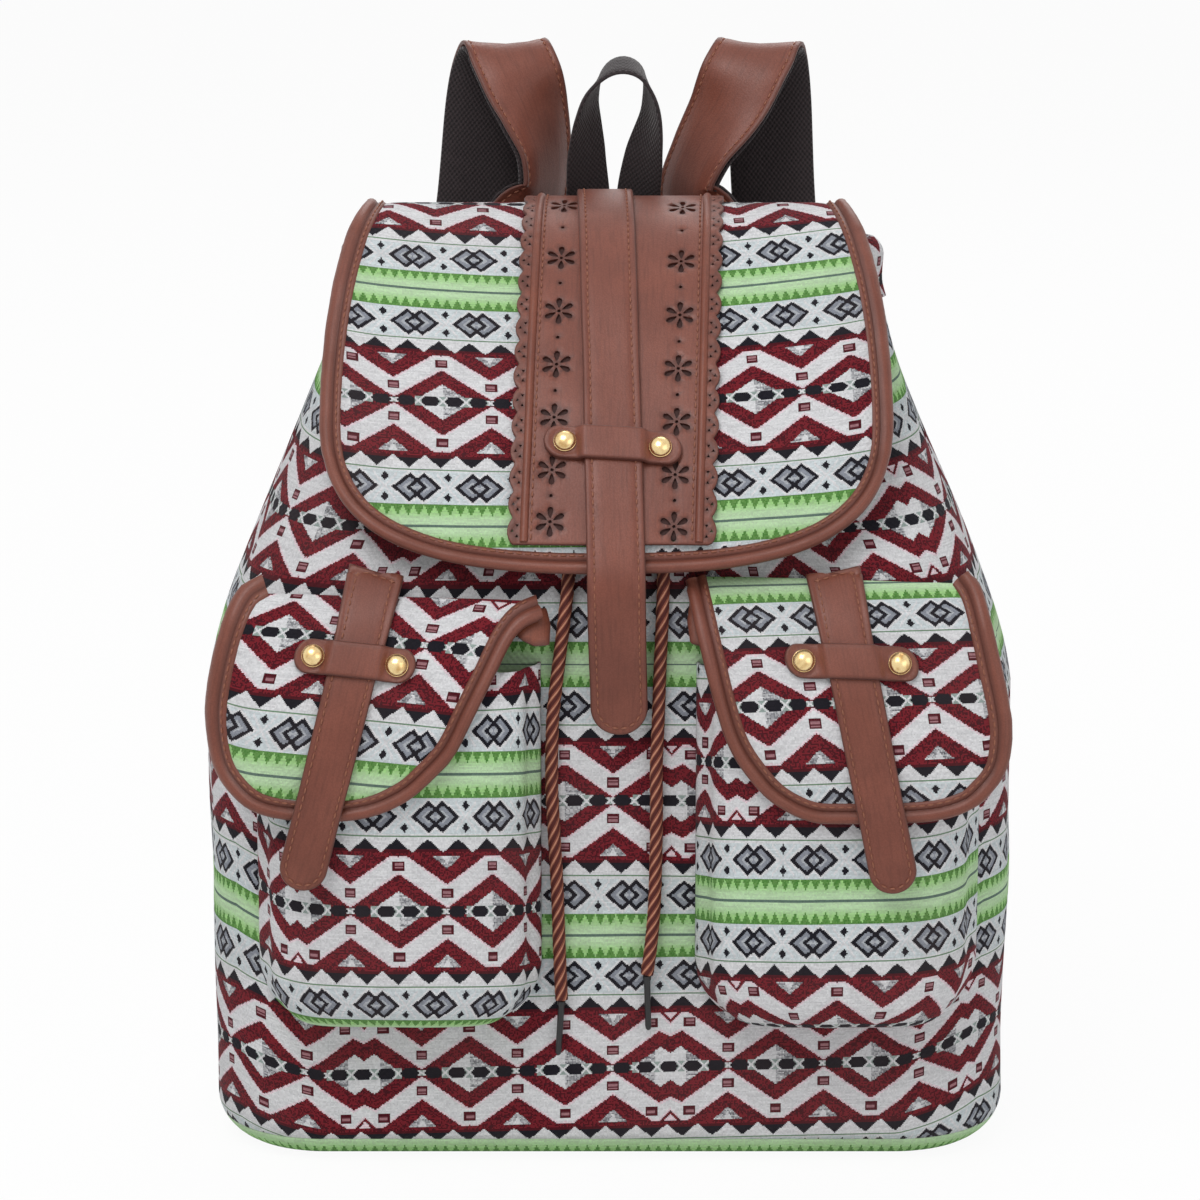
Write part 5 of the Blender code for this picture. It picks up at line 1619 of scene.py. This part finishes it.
def keeper_piece(name, surface, width, height, strap_width, low, step_up, rivet_reach, node):
    """A leather loop over a strap, with its rivets."""
    end = width / 2 - height / 2
    outline = arc(height / 2, -90, range(19), across=end) + arc(height / 2, 90, range(19), across=-end)
    edge_reach = strap_width / 2 + 2 * gap
    foot = edge_reach + 0.9 * step_up

    def lift(u, v):
        share = blend(edge_reach - 0.0008, foot + 0.0006, abs(u))
        return step_up * (1 - eased(share))

    def pressed(distance, a, b):
        away = hypot(abs(a) - rivet_reach, b) - 1.04 * rivet_radius
        return -0.0006 * exp(-(away / 0.0009) ** 2)
    piece = cut_piece(name, outline, surface, low, low + leather, 0.0011, [brown_leather], lift=lift,
        form=pressed, rounding=0.0008)
    on_bag(piece, node)
    for side in (-1, 1):
        point, out = resting(surface, side * rivet_reach, 0.0)
        rivet_spots.append((point + out * (low + leather), out))


keeper_piece("closing_keeper", keeper_frame, flap_keeper_width, flap_keeper_height, flap_strap_width,
    flap_strap_low, leather + gap, flap_rivet_spread, "flap_keeper")


# Front pockets
def pocket_seat(a, b):
    """Where a pocket's edge is sewn on: the front, its bend to the flanks eased."""
    over = max(abs(a) - (half_width(b) - corner(b)), 0.0)
    return Vector((a, front_line(b) + 0.9 * over * over / (2 * corner(b)), b))


def pocket_reach(height):
    """How far a pocket stands proud of the front at a height."""
    share = max(height - pocket_ease_height, 0.0) / (pocket_seam_top - pocket_ease_height)
    return pocket_depth * max(1 - share * share, 0.0)


def bellows_pocket(word, centre, bead):
    """A bellows pocket: a rounded front on a gusset that folds in a little. Its opening hangs lower
    towards the middle of the bag."""
    inner = -copysign(1, centre)
    bend = pocket_corner
    foot = pocket_bottom
    heights = [foot + bend * (1 - cos(radians(angle))) for angle in spread(0, 90, 26)]
    heights += spread(foot + bend, pocket_top, 60)[1:]
    steps = 128
    rows = []
    for height in heights:
        low = max(foot + bend - height, 0.0)
        half = pocket_width / 2 - bend + sqrt(max(bend * bend - low * low, 0.0))
        rise = max(1 - (low / bend) ** 3.2, 0.0) ** (1 / 3.2)
        line = []
        for step in range(steps + 1):
            angle = pi * step / steps
            reach = abs(cos(angle)) ** (2 / 3.4)
            swell = sin(angle) ** (2 / 3.4) if 0 < step < steps else 0.0
            fold = 0.0035 * exp(-((swell - 0.5) / 0.22) ** 2) * (1 if reach > 0.6 else 0)
            x = centre - (half * reach - fold * rise) * copysign(1, cos(angle))
            sunk = pocket_sag * blend(0.014, 0.040, inner * (x - centre))
            level = height - sunk * blend(pocket_sag_foot, pocket_top, height)
            proud = pocket_reach(level) * rise * swell
            point = pocket_seat(x, level) - Vector((0, proud + gap, 0))
            line.append(point - Vector((0, sway(point), 0)))
        rows.append(line)
    middle = steps // 2
    level_row = 40
    across = distances(rows[level_row])
    across = [value - across[middle] for value in across]
    up = distances([row[middle] for row in rows])
    lowest = up[level_row] - rows[level_row][middle].z
    climbs = [row[middle].z for row in rows]
    drawn = [value * (1 + 0.10 * min(abs(value) / 0.056, 1.0) ** 2) for value in across]

    def drift(row, step):
        if inner * across[step] > 0:
            return 0.22 * max(row[step].y - row[middle].y, 0.0)
        return -min(0.9 * across[step] ** 2, 0.0036)
    places = [[(drawn[step] + bead[1],
        float(np.interp(row[step].z, climbs, up)) - lowest - bead[0] + drift(row, step))
        for step in range(steps + 1)] for row in rows]
    piece = cloth_grid("bellows_pocket_" + word, rows, places, [canvas, lining], fabric * 0.55)
    on_bag(piece, "pocket_" + word, finish="woven_canvas")
    grid_sheet(rows)


def pocket_flap_surface(centre):
    """The lining of a pocket's flap, bent back at its sides and at its top."""
    def surface(a, b):
        over = max(abs(a - centre) - pocket_flap_flat, 0.0)
        back = over * over * 3.6 / pocket_width
        y = front_line(b) - max(pocket_reach(b) - back, 0.0) - pocket_flap_ease
        return Vector((a, y - sway(Vector((a, y, b))), b))
    return surface


left_flap_shape = (
    (-0.405, -0.045), (-0.457, -0.09), (-0.500, -0.20), (-0.535, -0.38), (-0.554, -0.58),
    (-0.535, -0.76), (-0.487, -0.87), (-0.415, -0.95), (-0.310, -0.985), (-0.170, -0.99),
    (-0.060, -0.965), (0.040, -0.90), (0.115, -0.81), (0.180, -0.71), (0.240, -0.55),
    (0.300, -0.395), (0.345, -0.282), (0.385, -0.225), (0.432, -0.200))
right_flap_shape = (
    (-0.464, -0.07), (-0.450, -0.14), (-0.415, -0.33), (-0.375, -0.54), (-0.335, -0.69),
    (-0.278, -0.81), (-0.210, -0.91), (-0.108, -0.985), (-0.005, -1.00), (0.240, -0.99),
    (0.370, -0.945), (0.435, -0.87), (0.480, -0.77), (0.492, -0.63), (0.482, -0.51),
    (0.461, -0.37), (0.440, -0.23), (0.415, -0.10), (0.380, -0.03))

# Corners turned down under the pocket flaps' bindings, as places on the front
left_corner = (
    (-0.0360, 0.2300), (-0.0300, 0.2325), (-0.0240, 0.2318), (-0.0222, 0.2260),
    (-0.0226, 0.2188), (-0.0290, 0.2192), (-0.0345, 0.2215), (-0.0385, 0.2250))
right_corner = (
    (0.0330, 0.2365), (0.0300, 0.2335), (0.0288, 0.2270), (0.0300, 0.2195),
    (0.0360, 0.2190), (0.0350, 0.2290))


def pocket_set(word, centre, shape, strap_top, slant, keeper_tilt, keeper_width, pocket_bead, flap_bead,
        turned_corner):
    """A pocket with its flap, strap, keeper and rivets; flap_bead is the height of the flap's bead row,
    its shift, its tilt and the columns' lean."""
    bellows_pocket(word, centre, pocket_bead)
    surface = pocket_flap_surface(centre)
    line = smooth_line([(centre + x * pocket_flap_width, pocket_flap_top + z * pocket_flap_height, 0)
        for x, z in shape], 160)
    line = [Vector(spot[:2]) for spot in line]

    levels = spread(0.130, pocket_flap_top + 0.004, 120)
    climbs = distances([surface(centre, height) for height in levels])
    bead_climb = float(np.interp(flap_bead[0], levels, climbs))

    def place(a, b):
        up = float(np.interp(b, levels, climbs)) - bead_climb
        up *= 1.16 if up > 0 else 1.0
        return (a - centre + flap_bead[1] + flap_bead[3] * up, up - flap_bead[2] * (a - centre))
    cloth_line = inset_line(line, cloth_inset)
    cloth = cut_piece("pocket_cloth_flap_" + word, cloth_line, surface, lining_back, fabric, 0.0026, [canvas],
        form=soft_cloth_form, place=place, rounding=0.0008)
    on_bag(cloth, "pocket_flap_" + word, finish="flap_canvas")
    flat = [Vector((spot.x, float(np.interp(spot.y, levels, climbs)))) for spot in cloth_line]
    cut_sheet(flat)
    rounded_binding("pocket_flap_edge_" + word, even_flat(inset_line(line, binding_width / 2), 0.0022),
        surface, "pocket_flap_binding_" + word)
    corner_piece = cut_piece("flap_corner_" + word, flat_points(turned_corner), surface,
        -0.0030, -0.0012, 0.0016, [fold_leather], rounding=0.0006)
    on_bag(corner_piece)
    right, up = leaning(slant)
    strap_spot = (centre + strap_top, pocket_flap_top)
    strap_place = framed(surface, strap_spot, right, up)
    tilt = radians(keeper_tilt)
    middle = (strap_spot[0] - pocket_keeper_drop * up[0], strap_spot[1] - pocket_keeper_drop * up[1])
    keeper_place = framed(surface, middle, (cos(tilt), sin(tilt)), up)

    def over_binding(u, v):
        share = blend(-pocket_step_start, -pocket_step_start - 0.010, v)
        return strap_step * eased(share)
    outline = strap_outline(pocket_strap_width, pocket_strap_rise, -pocket_strap_length)
    outline[0].x *= 1.17
    outline[-1].x *= 1.17
    outline.insert(1, Vector((-pocket_strap_width / 2, -0.040)))
    outline.insert(-1, Vector((pocket_strap_width / 2, -0.040)))
    strap = cut_piece("pocket_closing_strap_" + word, outline, strap_place,
        patch_low, patch_high, 0.0022, [brown_leather], lift=over_binding,
        form=sewn_form(pocket_strap_margin), rings=(0.0018, 0.0024, 0.0030), rounding=0.0008)
    on_bag(strap, "pocket_strap_" + word)
    seam = strap_seam(pocket_strap_width, pocket_strap_rise, -pocket_strap_length, pocket_strap_margin, 50)
    stitch_lines.append([laid(strap_place, spot.x, spot.y, patch_high + over_binding(spot.x, spot.y))
        for spot in seam])
    reach = pocket_strap_width / 2 - pocket_strap_margin
    stitch_lines.append([laid(strap_place, u, pocket_strap_rise - 0.003, patch_high)
        for u in spread(-reach, reach, 8)])
    keeper_piece("pocket_closing_keeper_" + word, keeper_place, keeper_width, pocket_keeper_height,
        pocket_strap_width, patch_low, leather + gap, keeper_width / 2 - pocket_rivet_inset,
        "pocket_keeper_" + word)


pocket_set("left", left_pocket_centre, left_flap_shape, -0.0065, -14.6, -6.0, left_keeper_width,
    left_pocket_bead, left_flap_bead, left_corner)
pocket_set("right", right_pocket_centre, right_flap_shape, -0.0040, 11.9, -1.6, right_keeper_width,
    right_pocket_bead, right_flap_bead, right_corner)


# Back: haul loop and shoulder straps, sewn to the back panel under a leather yoke
def path_and_sides(stations, count):
    """Evenly spaced points and cross directions from given stations."""
    line = smooth_line([place for place, side in stations], count)
    sides = []
    for point in line:
        near = sorted(((Vector(place) - point).length, side) for place, side in stations)[:2]
        share = near[0][0] / (near[0][0] + near[1][0])
        one, two = (Vector(side).normalized() for distance, side in near)
        sides.append(one.lerp(two, share))
    for sweep in range(6):
        before = list(sides)
        for index in range(1, len(sides) - 1):
            sides[index] = (before[index - 1] + before[index] * 2 + before[index + 1]) / 4
    return line, sides


haul_seat = gap + webbing / 2
strap_seat = gap + leather + gap / 2


def stations_at(rows):
    """Places for a strap from rows of X, distance behind the neck's back line, height above the neck
    and cross direction, which is along X where a row leaves it out; a first row on the back panel
    gives its distance from that panel's face."""
    places = []
    for x, behind, rise, *side in rows:
        height = neck_height + rise
        face = back_face(height) if rise < -0.030 else back_line(neck_height)
        places.append(((x, face + behind, height), side[0] if side else (1, 0, 0)))
    return tuple(places)


haul_rows = (
    (-0.009, haul_seat, -0.050), (-0.009, haul_seat, -0.035),
    (-0.009, 0.0085, -0.022), (-0.009, 0.0140, -0.010),
    (-0.009, 0.0170, 0.000),
    (-0.009, 0.0170, 0.010, (1, 0.05, 0)), (-0.009, 0.0145, 0.022, (0.9, 0.4, 0)),
    (-0.0097, 0.0090, 0.039, (0.8, 0.6, 0)), (-0.0085, 0.0040, 0.061, (0.4, 0.9, 0.1)),
    (-0.0020, 0.0025, 0.0733, (0.1, 1, 0.2)), (0.0065, 0.0020, 0.0765, (0, 1, 0.22)),
    (0.0140, 0.0025, 0.0713, (-0.1, 1, 0.2)),
    (0.0170, 0.0040, 0.056, (-0.4, 0.9, 0.1)), (0.0140, 0.0090, 0.037, (-0.8, 0.6, 0)),
    (0.0120, 0.0145, 0.022, (-0.9, 0.4, 0)), (0.0120, 0.0170, 0.010, (-1, 0.05, 0)),
    (0.0120, 0.0170, 0.000, (-1, 0, 0)), (0.0120, 0.0140, -0.010, (-1, 0, 0)),
    (0.0120, 0.0085, -0.022, (-1, 0, 0)),
    (0.0120, haul_seat, -0.035, (-1, 0, 0)), (0.0120, haul_seat, -0.050, (-1, 0, 0)))
left_rows = (
    (-0.0395, strap_seat, -0.050), (-0.0395, strap_seat, -0.035),
    (-0.0395, 0.0095, -0.022), (-0.0390, 0.0155, -0.010),
    (-0.0380, 0.0190, 0.000, (1, 0.1, 0)),
    (-0.0350, 0.0215, 0.010, (0.87, 0.5, 0)), (-0.0280, 0.0255, 0.021, (0.5, 0.87, 0)),
    (-0.0275, 0.0265, 0.038, (0.55, 0.83, 0)), (-0.0320, 0.0270, 0.055, (0.8, 0.6, 0)),
    (-0.0375, 0.0295, 0.070, (1, 0.2, 0)), (-0.0430, 0.0385, 0.0785),
    (-0.0470, 0.0475, 0.072),
    (-0.0510, 0.0515, 0.055), (-0.0550, 0.0520, 0.015),
    (-0.0610, 0.0510, -0.029))
right_rows = (
    (0.0425, strap_seat, -0.050), (0.0425, strap_seat, -0.035),
    (0.0425, 0.0095, -0.022), (0.0420, 0.0155, -0.010),
    (0.0410, 0.0190, 0.000, (1, -0.1, 0)),
    (0.0385, 0.0215, 0.010, (0.87, -0.5, 0)), (0.0325, 0.0255, 0.021, (0.55, -0.83, 0)),
    (0.0385, 0.0265, 0.038, (0.65, -0.76, 0)), (0.0485, 0.0270, 0.055, (0.85, -0.5, 0)),
    (0.0555, 0.0295, 0.070, (1, -0.2, 0)), (0.0620, 0.0385, 0.0785),
    (0.0650, 0.0475, 0.072),
    (0.0670, 0.0515, 0.055), (0.0690, 0.0520, 0.015),
    (0.0730, 0.0510, -0.029))
left_fall = (((-0.073, 0.1110, 0.255), (1, 0, 0)), ((-0.087, 0.1065, 0.205), (1, 0, 0)))
right_fall = (((0.081, 0.1110, 0.255), (1, 0, 0)), ((0.090, 0.1065, 0.205), (1, 0, 0)))


def strap_band(name, line, sides, width, low, high, material, node, finish, sewn=0.0):
    """A strap between two offsets from a line, with rounded edges and sewn grooves."""
    thick = high - low
    turned = min(0.4 * thick, 0.0007)
    half = width / 2
    section = [(-half, low + turned), (-half, high - turned), (-half + 0.3 * turned, high - 0.3 * turned),
        (-half + turned, high)]
    if sewn:
        section += [(-half + sewn - 0.0008, high), (-half + sewn, high - 0.0004),
            (-half + sewn + 0.0008, high)]
    section += [(-half * 0.4, high), (0.0, high)]
    section += [(-across, level) for across, level in section[:-1][::-1]]
    section += [(half - turned, low), (half * 0.4, low), (-half * 0.4, low), (-half + turned, low)]
    rims = [min(max(1.3 - (half - abs(across)) / 0.0012, 0.0), 1.0) for across, level in section]
    stations = []
    places = []
    seams = ([], [])
    for index, (centre, travelled) in enumerate(zip(line, distances(line))):
        along = heading(line, index)
        across = sides[index].normalized()
        face = across.cross(along).normalized()
        across = along.cross(face).normalized()
        stations.append([centre + across * reach + face * level for reach, level in section])
        places.append([(reach, travelled) for reach, level in section])
        for row, side in zip(seams, (-1, 1)):
            row.append(centre + across * side * (half - sewn) + face * (high - 0.0002))
    if sewn:
        stitch_lines.extend(row[1:-1] for row in seams)
    on_bag(swept(name, stations, places, material, rims * len(line)), node, finish=finish)


haul_line, haul_sides = path_and_sides(stations_at(haul_rows), 150)
strap_band("haul_webbing", haul_line, haul_sides, haul_width, -webbing / 2, webbing / 2, dark_webbing,
    "haul_loop", "dark_webbing")


def back_skin(a, b):
    """The back of the body, seen from behind, so that a runs to the left."""
    reach = half_width(b) - corner(b)
    over = min(max(abs(a) - reach, 0.0), 0.98 * corner(b))
    share = min(max((reach + a) / (2 * reach), 0.0), 1.0)
    full = body_fullness * 4 * share * (1 - share) * sin(pi * blend(0, neck_height, b))
    return Vector((-a, back_line(b) - corner(b) + sqrt(corner(b) ** 2 - over * over) + full, b))


def back_plane(a, b):
    """The back panel's outermost face, level across, seen from behind."""
    return Vector((-a, back_face(b), b))


strap_split = layer_gap / 2
webbing_back = -webbing - strap_split
tail_clearance = webbing / 2 + gap - webbing_back
for word, side, rows, fall in (("left", -1, left_rows, left_fall), ("right", 1, right_rows, right_fall)):
    anchor = Vector((side * anchor_spread, 0.0, anchor_seat))
    anchor.y = back_line(anchor.z) + gap + leather + 3 * gap + webbing / 2
    top = Vector((side * 0.097, 0.1000, 0.166))
    slope = (anchor - top).normalized()
    across = Vector((1, 0, 0))
    face = across.cross(slope).normalized()
    across = slope.cross(face).normalized()
    strap_band("lower_strap_" + word, [top + (anchor - top) * step / 40 for step in range(41)], [across] * 41,
        lower_webbing_width, -webbing / 2, webbing / 2, dark_webbing, "lower_webbing_" + word,
        "dark_webbing")
    tail = tuple((tuple(top + face * tail_clearance + slope * reach), tuple(across))
        for reach in (-0.006, 0.014, 0.030))
    line, sides = path_and_sides(stations_at(rows) + fall + tail, 220)
    strap_band("shoulder_leather_" + word, line, sides, shoulder_width, strap_split, strap_split + leather,
        brown_leather, "shoulder_strap_" + word, "brown_leather", sewn=0.0027)
    strap_band("shoulder_webbing_" + word, line, sides, shoulder_width, webbing_back, -strap_split,
        dark_webbing, "strap_webbing_" + word, "dark_webbing")
    tab = flat_points((-anchor.x + u * anchor_width / 2, v) for u, v in (
        (-1, anchor_bottom), (1, anchor_bottom), (0.62, anchor_top), (-0.62, anchor_top)))
    piece = cut_piece("base_tab_" + word, tab, back_skin, gap, gap + leather, 0.0022, [brown_leather],
        form=sewn_form(0.0024), rings=(0.0018, 0.0024, 0.0030))
    on_bag(piece, "anchor_tab_" + word)
    stitched(back_skin, inset_line(even_flat(tab + tab[:1], 0.002), 0.0024)[1:-1], gap + leather)

yoke = flat_points((x * yoke_width / 2, yoke_bottom + (yoke_top - yoke_bottom) * z) for x, z in (
    (-1, 0.25), (-0.9, 0), (0.9, 0), (1, 0.25), (1, 1), (-1, 1)))
piece = cut_piece("yoke_leather", yoke, back_plane, yoke_seat, yoke_seat + leather, 0.0024, [brown_leather],
    form=sewn_form(0.0026), rings=(0.0019, 0.0026, 0.0033))
on_bag(piece, "strap_yoke")
stitched(back_plane, inset_line(even_flat(yoke + yoke[:1], 0.002), 0.0026)[1:-1], yoke_seat + leather)

# Rivets and stitches, each made by one tree as one mesh
dome_height = rivet_height * 1.45
stitch_size = {"Pitch": 0.0034, "Stitch Length": 0.0026, "Thread": 0.0008}
carrier = bpy.data.meshes.new("rivet_points")
rivet_nodes = ["flap_rivet_left", "flap_rivet_right"] + [
    "pocket_rivet_" + word + letter for word in ("left", "right") for letter in ("_a", "_b")]
carrier.from_pydata([tuple(spot) for spot, out in rivet_spots], [], [])
carrier.attributes.new("axis", "FLOAT_VECTOR", "POINT").data.foreach_set(
    "vector", [value for spot, out in rivet_spots for value in out])
rivets = in_scene("domed_rivet_heads", grown_mesh(
    "domed_rivet_heads", carrier, rivet_tree,
    {"Radius": rivet_radius, "Height": dome_height, "Material": brass}))
on_bag(rivets, *rivet_nodes, finish="gold_metal")

carrier = bpy.data.meshes.new("stitch_paths")
points = []
links = []
for line in stitch_lines:
    links += [(len(points) + index, len(points) + index + 1) for index in range(len(line) - 1)]
    points += [tuple(spot) for spot in line]
carrier.from_pydata(points, links, [])
stitches = in_scene("seam_stitches", grown_mesh(
    "seam_stitches", carrier, stitch_tree, {**stitch_size, "Material": thread}))
on_bag(stitches)

# Finishes of the solids that stay as the part has them
sided = {"cord_eyelet_": brass, "pocket_snap_socket_": steel, "pocket_snap_stud_": steel,
    "strap_slider_": slider_black}
finishes = {"neck_cord": strands, "flap_snap_stud": steel, "flap_snap_socket": steel}
finishes.update((node + word, sided[node]) for node in sided for word in ("left", "right"))
for node, material in finishes.items():
    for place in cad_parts[node].material_slots:
        place.material = material

# Light, floor and background
def shown_to(tree, kinds, share, plain, seen, target):
    """Mixes a plain shader with one for the camera and for some kinds of ray."""
    rays = tree.nodes.new("ShaderNodeLightPath")
    mask = Measure(tree, rays.outputs["Is Camera Ray"])
    for kind in kinds:
        mask = mask.most(Measure(tree, rays.outputs["Is " + kind + " Ray"]))
    both = tree.nodes.new("ShaderNodeMixShader")
    tree.links.new((mask * share).socket, both.inputs["Fac"])
    tree.links.new(plain.outputs[0], both.inputs[1])
    tree.links.new(seen.outputs[0], both.inputs[2])
    tree.links.new(both.outputs[0], target.inputs["Surface"])


world = bpy.data.worlds.new("studio")
world.use_nodes = True
bpy.context.scene.world = world
tree = world.node_tree
soft = tree.nodes["Background"]
soft.inputs["Color"].default_value = (1.0, 1.0, 1.0, 1.0)
soft.inputs["Strength"].default_value = 0.44
seen = tree.nodes.new("ShaderNodeBackground")
seen.inputs["Color"].default_value = (1.0, 1.0, 1.0, 1.0)
shown_to(tree, ("Glossy", "Transmission"), 1.0, soft, seen, tree.nodes["World Output"])

floor_mesh = bpy.data.meshes.new("studio_floor")
floor_mesh.from_pydata([(x, y, -0.0003) for x, y in ((-8, -8), (8, -8), (8, 8), (-8, 8))], [], [(0, 1, 2, 3)])
floor = in_scene("studio_floor", floor_mesh)
paper = bpy.data.materials.new("studio_paper")
paper.use_nodes = True
tree = paper.node_tree
paper_shader = tree.nodes["Principled BSDF"]
paper_shader.inputs["Base Color"].default_value = (0.9, 0.9, 0.9, 1.0)
paper_shader.inputs["Roughness"].default_value = 1.0
shown_to(tree, ("Glossy",), 0.94, paper_shader, tree.nodes.new("ShaderNodeEmission"),
    tree.nodes["Material Output"])
floor_mesh.materials.append(paper)

for name, place, power, size in (("key_light", (-0.5, -1.0, 1.75), 18, 1.0),
        ("fill_light", (1.6, -1.8, 1.0), 8, 1.6),
        ("back_light", (0.3, 1.6, 1.9), 14, 1.4)):
    lamp = bpy.data.lights.new(name, "AREA")
    lamp.energy = power
    lamp.size = size
    light = in_scene(name, lamp)
    light.location = place
    light.rotation_euler = (Vector((0, 0, 0.2)) - Vector(place)).to_track_quat("-Z", "Y").to_euler()

bpy.context.scene.view_settings.view_transform = "Standard"

bpy.context.view_layer.update()
